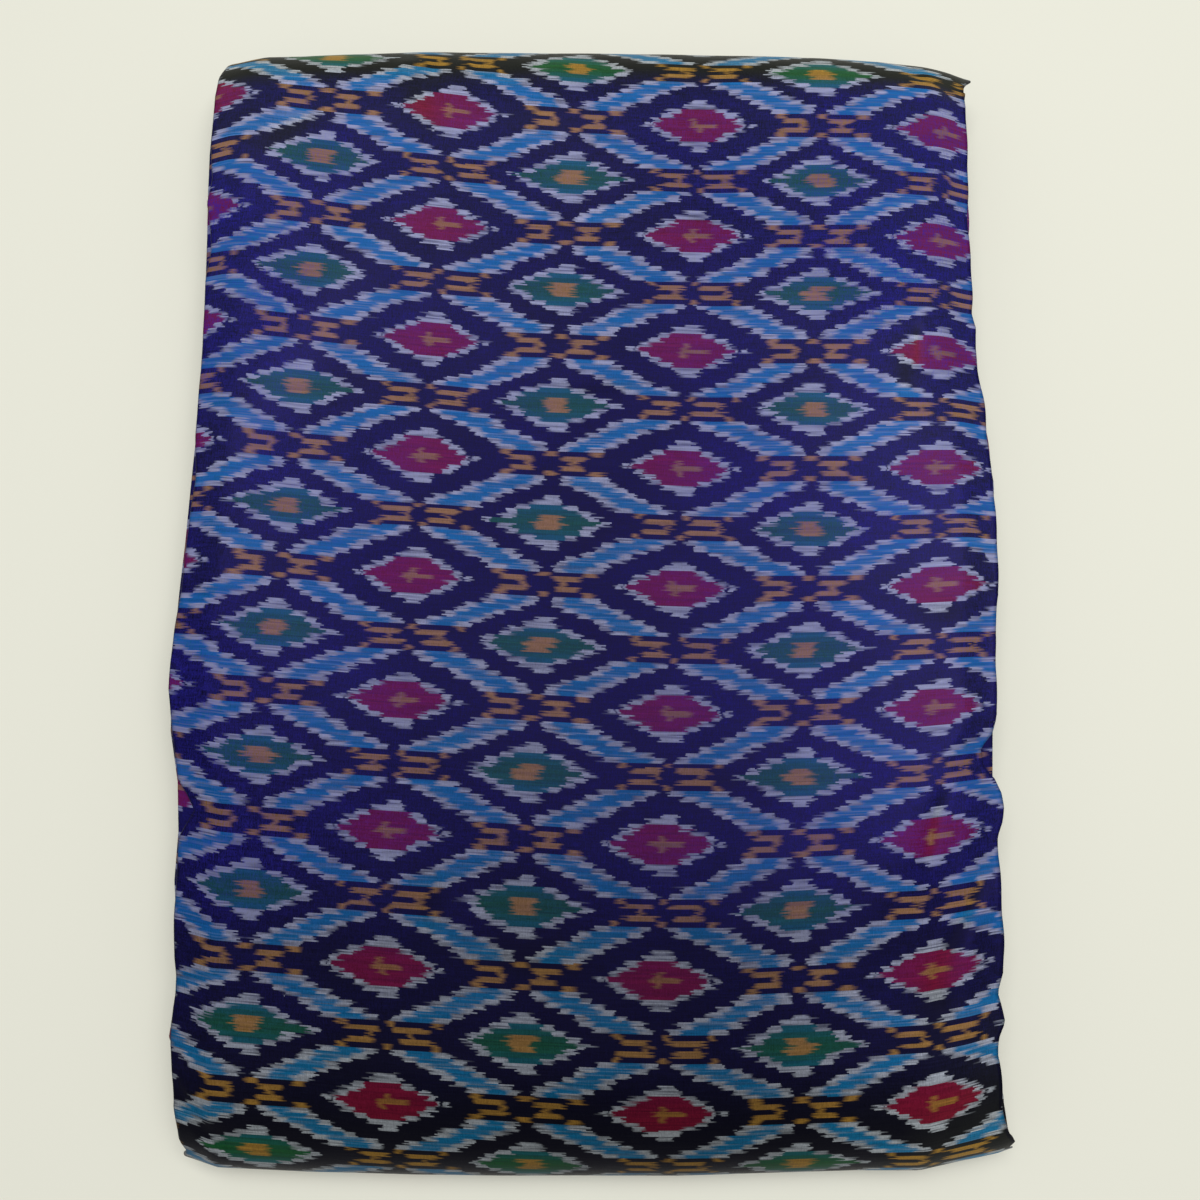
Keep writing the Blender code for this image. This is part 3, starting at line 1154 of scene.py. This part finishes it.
class Wiring:
    """Adds and joins the nodes of one shader tree."""

    def __init__(self, tree: bpy.types.NodeTree) -> None:
        """Start on a tree."""
        self.tree = tree

    def node(self, kind: str, **settings: object) -> bpy.types.Node:
        """Add a node.

        Args:
            kind: Its type.
            **settings: Its own properties.

        Returns:
            The node.
        """
        made = self.tree.nodes.new(kind)
        made.location = (190.0 * (len(self.tree.nodes) % 14), -210.0 * (len(self.tree.nodes) // 14))
        for name, value in settings.items():
            setattr(made, name, value)
        return made

    def feed(self, socket: bpy.types.NodeSocket, value: object) -> None:
        """Give a socket its value.

        Args:
            socket: The input that is fed.
            value: A number, a colour or another node's output.
        """
        if isinstance(value, bpy.types.NodeSocket):
            self.tree.links.new(value, socket)
        else:
            socket.default_value = value

    def math(self, operation: str, *values: object, clamp: bool = False) -> bpy.types.NodeSocket:
        """Add a Math node.

        Args:
            operation: What it works out.
            *values: Its inputs, in order.
            clamp: Whether the result is held between 0 and 1.

        Returns:
            Its result.
        """
        made = self.node("ShaderNodeMath", operation=operation, use_clamp=clamp)
        for socket, value in zip(made.inputs, values):
            self.feed(socket, value)
        return made.outputs[0]

    def mix(self, share: object, first: object, second: object) -> bpy.types.NodeSocket:
        """Add a node that mixes two colours.

        Args:
            share: How much of the second one shows.
            first: The first colour.
            second: The second colour.

        Returns:
            The mixed colour.
        """
        made = self.node("ShaderNodeMix", data_type="RGBA")
        self.feed(made.inputs[0], share)
        self.feed(made.inputs[6], first)
        self.feed(made.inputs[7], second)
        return made.outputs[2]

    def noise(self, x: object, y: object, detail: float = 0.0) -> bpy.types.NodeSocket:
        """Add a flat noise.

        Args:
            x: The first coordinate.
            y: The second coordinate.
            detail: How many finer layers it has.

        Returns:
            Its value, about 0.5 in the middle.
        """
        place = self.node("ShaderNodeCombineXYZ")
        self.feed(place.inputs[0], x)
        self.feed(place.inputs[1], y)
        made = self.node("ShaderNodeTexNoise", noise_dimensions="2D")
        self.feed(made.inputs["Vector"], place.outputs[0])
        made.inputs["Scale"].default_value = 1.0
        made.inputs["Detail"].default_value = detail
        return made.outputs[0]

    def varied(
        self, first: object, second: object, streak: Streak, amount: object = None
    ) -> bpy.types.NodeSocket:
        """Add a noise that varies about zero.

        Args:
            first: The first coordinate.
            second: The second coordinate.
            streak: How the noise varies with them.
            amount: What it is multiplied by, or None for the streak's own.

        Returns:
            Its value.
        """
        x = self.math("MULTIPLY", first, streak.first)
        y = self.math("MULTIPLY", second, streak.second)
        around_zero = self.math("SUBTRACT", self.noise(x, y, streak.detail), 0.5)
        return self.math("MULTIPLY", around_zero, streak.amount if amount is None else amount)

    def group(self, tree: bpy.types.NodeTree, **values: object) -> bpy.types.Node:
        """Add a node group.

        Args:
            tree: The group.
            **values: Its inputs by name, with underscores for spaces.

        Returns:
            The node.
        """
        made = self.node("ShaderNodeGroup", node_tree=tree)
        for name, value in values.items():
            self.feed(made.inputs[name.replace("_", " ")], value)
        return made


FLOAT = "NodeSocketFloat"
COLOUR = "NodeSocketColor"


class EffectGroup:
    """A shader node group with named inputs and outputs, built once."""

    name = ""
    inputs: tuple[tuple[str, str, float], ...] = ()
    outputs: tuple[tuple[str, str], ...] = ()

    def __init__(self) -> None:
        """Make the group's sockets and then its nodes."""
        self.tree = bpy.data.node_groups.new(self.name, "ShaderNodeTree")
        for name, kind, value in self.inputs:
            socket = self.tree.interface.new_socket(name, in_out="INPUT", socket_type=kind)
            if kind == FLOAT:
                socket.default_value = value
        for name, kind in self.outputs:
            self.tree.interface.new_socket(name, in_out="OUTPUT", socket_type=kind)
        self.wiring = Wiring(self.tree)
        self.given = self.wiring.node("NodeGroupInput").outputs
        self.result = self.wiring.node("NodeGroupOutput").inputs
        self.wire()

    def wire(self) -> None:
        """Add the group's nodes."""
        raise NotImplementedError

    def put(self, **values: object) -> None:
        """Join results to the group's outputs by name."""
        for name, value in values.items():
            self.wiring.feed(self.result[name.replace("_", " ")], value)


class DyedSpan(EffectGroup):
    """Where a stretch of a weft is dyed, with soft ends."""

    name = "dyed_span"
    inputs = (("Place", FLOAT, 0.0), ("From", FLOAT, 0.0), ("To", FLOAT, 0.0), ("Softness", FLOAT, 0.01))
    outputs = (("Mask", FLOAT),)

    def wire(self) -> None:
        """Ramp up at one end of the span and down at the other."""
        made, given = self.wiring, self.given
        rise = made.math("SUBTRACT", given["Place"], given["From"])
        rise = made.math("DIVIDE", rise, given["Softness"])
        rise = made.math("ADD", rise, 0.5, clamp=True)
        fall = made.math("SUBTRACT", given["To"], given["Place"])
        fall = made.math("DIVIDE", fall, given["Softness"])
        fall = made.math("ADD", fall, 0.5, clamp=True)
        self.put(Mask=made.math("MULTIPLY", rise, fall))


@dataclass(frozen=True)
class Repeat:
    """The size of the woven pattern's repeat."""

    width: float = 0.0914
    length: float = 0.0438
    steps: int = 24
    wefts: int = 4

    @property
    def step(self) -> float:
        """The height of one step of the pattern, a bundle of wefts dyed alike."""
        return self.length / self.steps


class WeftRows(EffectGroup):
    """Which bundle of wefts a place belongs to, and how far its dye has crept."""

    name = "weft_rows"
    inputs = (("Across", FLOAT, 0.0), ("Along", FLOAT, 0.0), ("Creep", FLOAT, 0.001))
    outputs = (
        ("Steps from Level", FLOAT),
        ("Across", FLOAT),
        ("Weft", FLOAT),
        ("Bleed", FLOAT),
    )
    repeat = Repeat()
    sway = Streak(24.0, 31.0, 0.0009)
    stray = Streak(9.0, 3.77, 0.42)
    creep = Streak(110.0, 5.17, detail=1.0)
    bundle_creep = Streak(34.0, 3.31, 0.75)
    tip_creep = 0.9
    tip_steps = 2.0
    bleed = (70.0, 9.41)
    bleed_gain = 1.7
    bleed_contrast = 4.0

    def wire(self) -> None:
        """Count bundles and wefts along the cloth, and shift each one a little."""
        made, given, repeat = self.wiring, self.given, self.repeat
        across = given["Across"]
        sway = made.varied(across, given["Along"], self.sway)
        along = made.math("ADD", given["Along"], sway)
        place = made.math("ADD", made.math("DIVIDE", along, repeat.step), 0.5)
        weft = made.math("FLOOR", made.math("MULTIPLY", place, float(repeat.wefts)))
        stray = made.varied(across, weft, self.stray)
        middle = made.math("DIVIDE", made.math("ADD", weft, 0.5), float(repeat.wefts))
        bundle = made.math("FLOOR", made.math("ADD", middle, stray))
        around = made.math("FLOORED_MODULO", bundle, float(repeat.steps))
        back = made.math("SUBTRACT", float(repeat.steps), around)
        steps = made.math("MINIMUM", around, back)
        creep = made.varied(across, weft, self.creep)
        by_bundle = made.varied(across, bundle, self.bundle_creep)
        creep = made.math("ADD", creep, by_bundle)
        past_tips = made.math("MULTIPLY", steps, 1.0 / self.tip_steps)
        at_tips = made.math("SUBTRACT", 1.0, past_tips, clamp=True)
        reach = made.math("MULTIPLY_ADD", at_tips, self.tip_creep, 1.0)
        creep = made.math("MULTIPLY", made.math("MULTIPLY", creep, reach), given["Creep"])
        by_across = made.math("MULTIPLY", across, self.bleed[0])
        bleed = made.noise(by_across, made.math("MULTIPLY", weft, self.bleed[1]))
        bleed = made.math("MULTIPLY", bleed, self.bleed_gain)
        bleed = made.math("POWER", bleed, self.bleed_contrast)
        self.put(
            Steps_from_Level=steps,
            Across=made.math("ADD", across, creep),
            Weft=weft,
            Bleed=bleed,
        )


class Chart(NamedTuple):
    """Two dyed spans for each step of the pattern, as shares of the repeat's width.

    rows holds, for a step, the first span's ends and then the second's,
    measured from the motif's own middle.
    """

    name: str
    rows: dict[int, tuple[float, float, float, float]]


# A span that ends before it starts, so that nothing is dyed.
NONE = (0.5, -0.5)


class IkatChart(EffectGroup):
    """The dyer's chart: which dye each stretch of each weft has taken."""

    name = "ikat_chart"
    inputs = (("Across", FLOAT, 0.0), ("Steps from Level", FLOAT, 0.0), ("Softness", FLOAT, 0.006))
    outputs = (
        ("Undyed", FLOAT),
        ("Sky", FLOAT),
        ("Green", FLOAT),
        ("Red", FLOAT),
        ("Gold", FLOAT),
        ("Olive", FLOAT),
        ("Body Step", FLOAT),
    )
    gold_softness = 0.024
    sky_softness = 0.012
    olive_span = (-0.06, 0.150)
    olive_softness = 0.12
    levels = 12
    repeat = Repeat()
    green_diamond = Chart(
        "green_diamond",
        {
            0: (-0.196, 0.196, -0.220, 0.236),
            1: (-0.150, 0.146, -0.198, 0.195),
            2: (-0.113, 0.113, -0.158, 0.155),
            3: (-0.062, 0.066, -0.118, 0.114),
            4: (*NONE, -0.070, 0.046),
            5: (*NONE, -0.022, 0.040),
        },
    )
    green_column_gold = Chart(
        "green_column_gold",
        {
            0: (-0.048, 0.046, *NONE),
            1: (-0.042, 0.040, *NONE),
            10: (-0.193, -0.153, 0.152, 0.196),
            11: (-0.166, -0.074, 0.036, 0.130),
            12: (-0.092, -0.070, 0.067, 0.090),
        },
    )
    red_diamond = Chart(
        "red_diamond",
        {
            7: (*NONE, -0.022, 0.040),
            8: (*NONE, -0.062, 0.058),
            9: (-0.072, 0.072, -0.116, 0.112),
            10: (-0.110, 0.107, -0.153, 0.150),
            11: (-0.150, 0.150, -0.184, 0.182),
            12: (-0.188, 0.178, -0.199, 0.188),
        },
    )
    red_column_gold = Chart(
        "red_column_gold",
        {
            0: (-0.064, -0.047, 0.120, 0.137),
            1: (-0.136, -0.030, 0.042, 0.156),
            2: (-0.172, -0.146, 0.178, 0.200),
            11: (-0.016, 0.004, *NONE),
            12: (-0.034, 0.072, *NONE),
        },
    )
    dashes = Chart("centre_dashes", {2: (*NONE, 0.004, 0.028), 10: (-0.021, 0.021, *NONE)})
    bars = Chart(
        "slanting_bars",
        {
            3: (0.025, 0.237, 0.046, 0.062),
            4: (0.064, 0.289, 0.048, 0.047),
            5: (0.122, 0.316, 0.046, 0.042),
            6: (0.172, 0.366, 0.048, 0.042),
            7: (0.204, 0.413, 0.046, 0.044),
            8: (0.255, 0.460, 0.048, 0.046),
            9: (0.287, 0.472, 0.068, 0.042),
            12: (0.204, 0.228, 0.5, 0.5),
        },
    )

    def ramp(self, chart: Chart, position: bpy.types.NodeSocket, zero: float) -> tuple:
        """Turn a chart into a stepped colour ramp.

        Args:
            chart: The chart.
            position: The pattern step, as a share of the ramp.
            zero: What is added, because a ramp holds no negative numbers.

        Returns:
            Four outputs: the ends of the two spans.
        """
        made = self.wiring
        node = made.node("ShaderNodeValToRGB", name=chart.name, label=chart.name)
        node.color_ramp.interpolation = "CONSTANT"
        empty = (*NONE, *NONE) if zero else (2.0, 0.0, 0.0, 0.0)
        stops = node.color_ramp.elements
        while len(stops) > 1:
            stops.remove(stops[-1])
        for step in range(self.levels + 1):
            place = max(0.0, (step - 0.5) / (2 * self.levels))
            stop = stops[0] if step == 0 else stops.new(place)
            stop.position = place
            stop.color = [value + zero for value in chart.rows.get(step, empty)]
        made.feed(node.inputs[0], position)
        split = made.node("ShaderNodeSeparateColor")
        made.feed(split.inputs[0], node.outputs[0])
        return (*split.outputs, node.outputs[1])

    def span(
        self, place: object, start: object, stop: object, softness: object = None
    ) -> bpy.types.NodeSocket:
        """Add one dyed span.

        Args:
            place: Where a point lies across the motif.
            start: The span's left end.
            stop: Its right end.
            softness: The width of its soft ends, or None for the group's own.

        Returns:
            Its mask.
        """
        softness = self.given["Softness"] if softness is None else softness
        span_tree = bpy.data.node_groups["dyed_span"]
        made = self.wiring.group(span_tree, Place=place, From=start, To=stop, Softness=softness)
        return made.outputs[0]

    def wire(self) -> None:
        """Measure from the nearest motif and read every chart."""
        made, given = self.wiring, self.given
        position = made.math("DIVIDE", given["Steps from Level"], 2.0 * self.levels)
        turns = made.math("DIVIDE", given["Across"], self.repeat.width)
        on_green = made.math("FLOORED_MODULO", made.math("ADD", turns, 0.5), 1.0)
        on_red = made.math("FLOORED_MODULO", turns, 1.0)
        from_red = made.math("ABSOLUTE", made.math("SUBTRACT", on_red, 0.5))

        body = self.ramp(self.green_diamond, position, 0.5)
        green = self.span(on_green, body[0], body[1])
        green_line = self.span(on_green, body[2], body[3])
        body = self.ramp(self.red_diamond, position, 0.5)
        red = self.span(on_red, body[0], body[1])
        red_line = self.span(on_red, body[2], body[3])
        golds = []
        soft = self.gold_softness
        for chart, place in ((self.green_column_gold, on_green), (self.red_column_gold, on_red)):
            ends = self.ramp(chart, position, 0.5)
            golds.append(self.span(place, ends[0], ends[1], soft))
            golds.append(self.span(place, ends[2], ends[3], soft))
        ends = self.ramp(self.dashes, position, 0.5)
        golds.append(self.span(on_green, ends[0], ends[1], soft))
        golds.append(self.span(on_red, ends[2], ends[3], soft))
        gold = golds[0]
        for mask in golds[1:]:
            gold = made.math("MAXIMUM", gold, mask)
        olive = self.span(on_green, *self.olive_span, self.olive_softness)

        start, stop, start_margin, stop_margin = self.ramp(self.bars, position, 0.0)
        bar = self.span(from_red, start, stop)
        sky_start = made.math("ADD", start, start_margin)
        sky_stop = made.math("SUBTRACT", stop, stop_margin)
        feathered = made.math("ADD", given["Softness"], self.sky_softness)
        sky = self.span(from_red, sky_start, sky_stop, feathered)
        undyed = made.math("MAXIMUM", made.math("MAXIMUM", green_line, red_line), bar)
        self.put(
            Undyed=undyed,
            Sky=sky,
            Green=green,
            Red=red,
            Gold=gold,
            Olive=olive,
            Body_Step=made.math("DIVIDE", given["Steps from Level"], 4.0, clamp=True),
        )


class DyeBath(EffectGroup):
    """Colours each weft by the chart, with the streaks of an uneven bath, then scales it by the painted
    light and adds a painted highlight.
    """

    name = "dye_bath"
    inputs = (
        ("Across", FLOAT, 0.0),
        ("Weft", FLOAT, 0.0),
        ("Undyed", FLOAT, 0.0),
        ("Sky", FLOAT, 0.0),
        ("Green", FLOAT, 0.0),
        ("Red", FLOAT, 0.0),
        ("Gold", FLOAT, 0.0),
        ("Olive", FLOAT, 0.0),
        ("Body Step", FLOAT, 0.0),
        ("Ground Colour", COLOUR, 0.0),
        ("Undyed Colour", COLOUR, 0.0),
        ("Sky Colour", COLOUR, 0.0),
        ("Green Colour", COLOUR, 0.0),
        ("Red Colour", COLOUR, 0.0),
        ("Gold Colour", COLOUR, 0.0),
        ("Lustre", FLOAT, 1.0),
        ("Streaks", FLOAT, 0.3),
    )
    outputs = (("Color", COLOUR),)
    patches = Streak(75.0, 4.61, 1.5)
    patch_cover = 0.9
    wash = Streak(42.0, 2.93, 0.9)
    wash_cover = 0.99
    teal = 0.55
    olive = Streak(50.0, 6.31, 1.5)
    olive_cover = 0.15
    tones = Streak(38.0, 7.13, detail=2.0)
    gold_cover = 0.94
    thin_gold = 0.22
    # A painted highlight: a pale veil added where the painted light passes 1.
    bloom = (0.024, 0.027, 0.010)

    def wire(self) -> None:
        """Lay the dyes over each other in the order of the dyeing."""
        made, given = self.wiring, self.given
        across, weft = given["Across"], given["Weft"]
        patchy = made.varied(across, weft, self.patches)
        patchy = made.math("ADD", patchy, self.patch_cover, clamp=True)
        undyed = made.math("MULTIPLY", given["Undyed"], patchy)
        colour = made.mix(undyed, given["Ground Colour"], given["Undyed Colour"])
        washed = made.varied(across, weft, self.wash)
        washed = made.math("ADD", washed, self.wash_cover, clamp=True)
        sky = made.math("MULTIPLY", given["Sky"], washed)
        colour = made.mix(sky, colour, given["Sky Colour"])
        bluer = made.math("MULTIPLY", given["Body Step"], given["Body Step"])
        bluer = made.math("MULTIPLY", bluer, self.teal)
        green = made.mix(bluer, given["Green Colour"], given["Sky Colour"])
        yellower = made.varied(across, weft, self.olive)
        yellower = made.math("ADD", yellower, self.olive_cover, clamp=True)
        yellower = made.math("MULTIPLY", yellower, given["Olive"])
        green = made.mix(yellower, green, given["Gold Colour"])
        colour = made.mix(given["Green"], colour, green)
        colour = made.mix(given["Red"], colour, given["Red Colour"])
        cover = made.math("MULTIPLY_ADD", given["Red"], -self.thin_gold, self.gold_cover)
        gold = made.math("MULTIPLY", given["Gold"], cover)
        colour = made.mix(gold, colour, given["Gold Colour"])
        tone = made.varied(across, weft, self.tones, given["Streaks"])
        # Painted light: the tone is scaled by the painted light on the wefts.
        tone = made.math("MULTIPLY", made.math("ADD", tone, 1.0), given["Lustre"])
        shade = made.node("ShaderNodeVectorMath", operation="SCALE")
        made.feed(shade.inputs[0], colour)
        made.feed(shade.inputs["Scale"], tone)
        # Painted highlight: the pale veil grows as the painted light passes 1.
        lit = made.node("ShaderNodeVectorMath", operation="MULTIPLY_ADD")
        made.feed(lit.inputs[0], made.math("SUBTRACT", given["Lustre"], 1.0, clamp=True))
        made.feed(lit.inputs[1], self.bloom)
        made.feed(lit.inputs[2], shade.outputs[0])
        self.put(Color=lit.outputs[0])


class ShotWeave(EffectGroup):
    """Crosses the dyed wefts with plain violet warps, whose share follows the painted sheen."""

    name = "shot_weave"
    inputs = (
        ("Across", FLOAT, 0.0),
        ("Along", FLOAT, 0.0),
        ("Weft", FLOAT, 0.0),
        ("Dye", COLOUR, 0.0),
        ("Warp Colour", COLOUR, 0.0),
        ("Warp Share", FLOAT, 0.2),
        ("Sheen", FLOAT, 1.0),
        ("Roughness", FLOAT, 0.42),
        ("Grain", FLOAT, 0.35),
    )
    outputs = (("Color", COLOUR), ("Roughness", FLOAT), ("Height", FLOAT))
    warps = 1.0 / 0.00044
    crossings = Streak(warps, 2.37)
    single_warps = Streak(warps, 260.0, 0.6)
    fine_wefts = Streak(210.0, 3.91, 0.6)
    slubs = Streak(60.0, 1.93, detail=1.0)
    clouds = Streak(22.0, 30.0, 1.3, 3.0)
    violet_grain = 3.0
    # A bluer tint of the painted sheen, mixed in as the sheen grows.
    cast = (1.0, 0.97, 1.32)
    dull_roughness = 0.14
    thread_roughness = 0.12
    thread_height = 0.5

    def wire(self) -> None:
        """Show more or less of the warp, thread by thread."""
        made, given = self.wiring, self.given
        across, along, weft = given["Across"], given["Along"], given["Weft"]
        cloud = made.math("ADD", made.varied(across, along, self.clouds), 1.0)
        thread = made.varied(across, weft, self.crossings)
        thread = made.math("ADD", thread, made.varied(across, along, self.single_warps))
        thread = made.math("ADD", thread, made.varied(across, weft, self.fine_wefts))
        grain = made.math("MULTIPLY", thread, given["Grain"])
        # The warp's violet is the silk's own colour, but its share follows the painted sheen.
        share = made.math("MULTIPLY", given["Warp Share"], given["Sheen"])
        share = made.math("MULTIPLY", share, cloud)
        more = made.math("MULTIPLY_ADD", grain, self.violet_grain, 1.0)
        share = made.math("MULTIPLY", share, more, clamp=True)
        # Painted sheen: the dye turns bluer where the painted sheen is strong.
        cast = made.node("ShaderNodeVectorMath", operation="MULTIPLY")
        made.feed(cast.inputs[0], given["Dye"])
        made.feed(cast.inputs[1], self.cast)
        gleaming = made.math("MINIMUM", given["Sheen"], 1.0)
        colour = made.mix(gleaming, given["Dye"], cast.outputs[0])
        colour = made.mix(share, colour, given["Warp Colour"])
        shade = made.node("ShaderNodeVectorMath", operation="SCALE")
        made.feed(shade.inputs[0], colour)
        made.feed(shade.inputs["Scale"], made.math("ADD", grain, 1.0))
        dull = made.math("SUBTRACT", 1.0, given["Sheen"])
        rough = made.math("MULTIPLY_ADD", dull, self.dull_roughness, given["Roughness"])
        rough = made.math("MULTIPLY_ADD", thread, self.thread_roughness, rough)
        slub = made.varied(across, weft, self.slubs)
        self.put(
            Color=shade.outputs[0],
            Roughness=rough,
            Height=made.math("MULTIPLY_ADD", thread, self.thread_height, slub),
        )


@dataclass(frozen=True)
class SilkDyes:
    """The colours of the wefts, as seen without the warps' sheen."""

    ground: tuple[int, int, int] = (10, 11, 12)
    undyed: tuple[int, int, int] = (136, 142, 147)
    sky: tuple[int, int, int] = (12, 89, 126)
    green: tuple[int, int, int] = (18, 68, 32)
    red: tuple[int, int, int] = (96, 14, 30)
    gold: tuple[int, int, int] = (131, 98, 34)


@dataclass(frozen=True)
class ShotSilk:
    """A changeable silk: ikat wefts crossed with violet warps."""

    name: str
    warp_share: float
    roughness: float
    grain: float
    slub_height: float
    dyes: SilkDyes = SilkDyes()
    warp: tuple[int, int, int] = (32, 28, 130)
    creep: float = 0.0046
    least_softness: float = 0.003
    softness: float = 0.0130
    streaks: float = 0.85
    bump_strength: float = 0.6
    specular_level: float = 0.15
    specular_tint: tuple[float, float, float, float] = (0.26, 0.21, 1.0, 1.0)
    anisotropy: float = 0.55

    def material(self) -> bpy.types.Material:
        """Make the material.

        Returns:
            The finished material.
        """
        material = bpy.data.materials.new(self.name)
        material.use_nodes = True
        tree = material.node_tree
        shader = tree.nodes["Principled BSDF"]
        made = Wiring(tree)
        places = made.node("ShaderNodeUVMap", uv_map=CLOTH_MAP)
        split = made.node("ShaderNodeSeparateXYZ")
        made.feed(split.inputs[0], places.outputs[0])
        groups = bpy.data.node_groups
        rows = made.group(
            groups["weft_rows"],
            Across=split.outputs[0],
            Along=split.outputs[1],
            Creep=self.creep,
        )
        bleed = rows.outputs["Bleed"]
        softness = made.math("MULTIPLY_ADD", bleed, self.softness, self.least_softness)
        chart = made.group(
            groups["ikat_chart"],
            Across=rows.outputs["Across"],
            Steps_from_Level=rows.outputs["Steps from Level"],
            Softness=softness,
        )
        # The painted light on the wefts and the painted violet sheen, both read from the mesh.
        lustre = made.node("ShaderNodeAttribute", attribute_name=PAINTED_WEFT_LIGHT)
        bath = made.group(
            groups["dye_bath"],
            Across=split.outputs[0],
            Weft=rows.outputs["Weft"],
            Lustre=lustre.outputs["Fac"],
            Streaks=self.streaks,
            **{f"{dye.title()}_Colour": linear(*shade) for dye, shade in vars(self.dyes).items()},
            **{output.name.replace(" ", "_"): output for output in chart.outputs},
        )
        sheen = made.node("ShaderNodeAttribute", attribute_name=SHEEN)
        weave = made.group(
            groups["shot_weave"],
            Across=split.outputs[0],
            Along=split.outputs[1],
            Weft=rows.outputs["Weft"],
            Dye=bath.outputs["Color"],
            Warp_Colour=linear(*self.warp),
            Warp_Share=self.warp_share,
            Sheen=sheen.outputs["Fac"],
            Roughness=self.roughness,
            Grain=self.grain,
        )
        bump = made.node("ShaderNodeBump")
        bump.inputs["Distance"].default_value = self.slub_height
        bump.inputs["Strength"].default_value = self.bump_strength
        made.feed(bump.inputs["Height"], weave.outputs["Height"])
        tangent = made.node("ShaderNodeTangent", direction_type="UV_MAP", uv_map=CLOTH_MAP)
        made.feed(shader.inputs["Base Color"], weave.outputs["Color"])
        made.feed(shader.inputs["Roughness"], weave.outputs["Roughness"])
        made.feed(shader.inputs["Normal"], bump.outputs["Normal"])
        made.feed(shader.inputs["Tangent"], tangent.outputs[0])
        shader.inputs["Specular IOR Level"].default_value = self.specular_level
        shader.inputs["Specular Tint"].default_value = self.specular_tint
        shader.inputs["Anisotropic"].default_value = self.anisotropy
        return material


@dataclass
class Studio:
    """A pale floor, a wide soft light overhead and the camera."""

    floor_size: float = 5.0
    floor_colour: tuple[int, int, int] = (231, 231, 220)
    floor_roughness: float = 0.95
    floor_specular: float = 0.1
    world_colour: tuple[float, float, float, float] = (1.0, 1.0, 0.97, 1.0)
    world_light: float = 0.32
    light_colour: tuple[float, float, float] = (1.0, 0.995, 0.965)
    light_place: tuple[float, float, float] = (0.12, 0.26, 1.60)
    light_size: tuple[float, float] = (1.5, 0.9)
    light_power: float = 22.5
    camera_place: tuple[float, float, float] = (0.004, -0.082, 0.446)
    camera_tilt: float = 9.6
    lens: float = 36.0
    sensor: float = 36.0
    nearest: float = 0.01

    def floor(self) -> bpy.types.Object:
        """Lay the plain floor under the bundle."""
        grid = bmesh.new()
        bmesh.ops.create_grid(grid, x_segments=1, y_segments=1, size=self.floor_size / 2)
        mesh = bpy.data.meshes.new("floor")
        grid.to_mesh(mesh)
        grid.free()
        floor = bpy.data.objects.new("floor", mesh)
        bpy.context.scene.collection.objects.link(floor)
        material = bpy.data.materials.new("pale_floor")
        material.use_nodes = True
        shader = material.node_tree.nodes["Principled BSDF"]
        shader.inputs["Base Color"].default_value = linear(*self.floor_colour)
        shader.inputs["Roughness"].default_value = self.floor_roughness
        shader.inputs["Specular IOR Level"].default_value = self.floor_specular
        mesh.materials.append(material)
        return floor

    def lights(self) -> None:
        """Light the scene from a pale room and one wide soft lamp overhead."""
        world = bpy.data.worlds.new("pale_room")
        world.use_nodes = True
        sky = world.node_tree.nodes["Background"]
        sky.inputs["Color"].default_value = self.world_colour
        sky.inputs["Strength"].default_value = self.world_light
        bpy.context.scene.world = world
        lamp = bpy.data.lights.new("soft_overhead", "AREA")
        lamp.shape = "RECTANGLE"
        lamp.size, lamp.size_y = self.light_size
        lamp.energy = self.light_power
        lamp.color = self.light_colour
        holder = bpy.data.objects.new("soft_overhead", lamp)
        holder.location = self.light_place
        aim = Vector((0.0, 0.0, 0.0)) - Vector(self.light_place)
        holder.rotation_euler = aim.to_track_quat("-Z", "Y").to_euler()
        bpy.context.scene.collection.objects.link(holder)

    def camera(self) -> None:
        """Look down at the bundle from close above, a little from its near side."""
        lens = bpy.data.cameras.new("camera")
        lens.lens, lens.sensor_width = self.lens, self.sensor
        lens.clip_start = self.nearest
        camera = bpy.data.objects.new("camera", lens)
        camera.location = self.camera_place
        camera.rotation_euler = Euler((math.radians(self.camera_tilt), 0.0, 0.0))
        bpy.context.scene.collection.objects.link(camera)
        bpy.context.scene.camera = camera

    def set_up(self) -> None:
        """Put the floor, the lights and the camera in place."""
        self.floor()
        self.lights()
        self.camera()
        bpy.context.scene.view_settings.view_transform = "Standard"


def dress_cloth() -> None:
    """Build the cloth's three pieces, dress them, attach them to the body, hide the imported solid and
    log their face counts.
    """
    for group in (DyedSpan, WeftRows, IkatChart, DyeBath, ShotWeave):
        group()
    outer_silk = ShotSilk("outer_silk", 0.17, 0.42, 0.44, 0.00004).material()
    # inner_silk, for the underside and the hidden plies, shows a little less violet warp than
    # outer_silk, a slight painted shade, and is rougher, with weaker grain and slubs.
    inner_silk = ShotSilk("inner_silk", 0.16, 0.50, 0.24, 0.00002).material()
    cloth = FoldedCloth()
    outer, under, inner = cloth.build()
    for piece, silk in ((outer, outer_silk), (under, inner_silk), (inner, inner_silk)):
        piece.data.materials.append(silk)
        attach(piece, BODY)
        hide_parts(SOLID)
        LOG.info("%s has %d faces", piece.name, len(piece.data.polygons))


def main() -> None:
    """Build the scene."""
    logging.basicConfig(level=logging.INFO, format="%(name)s: %(message)s")
    Studio().set_up()
    dress_cloth()


if __name__ == "__main__":
    main()
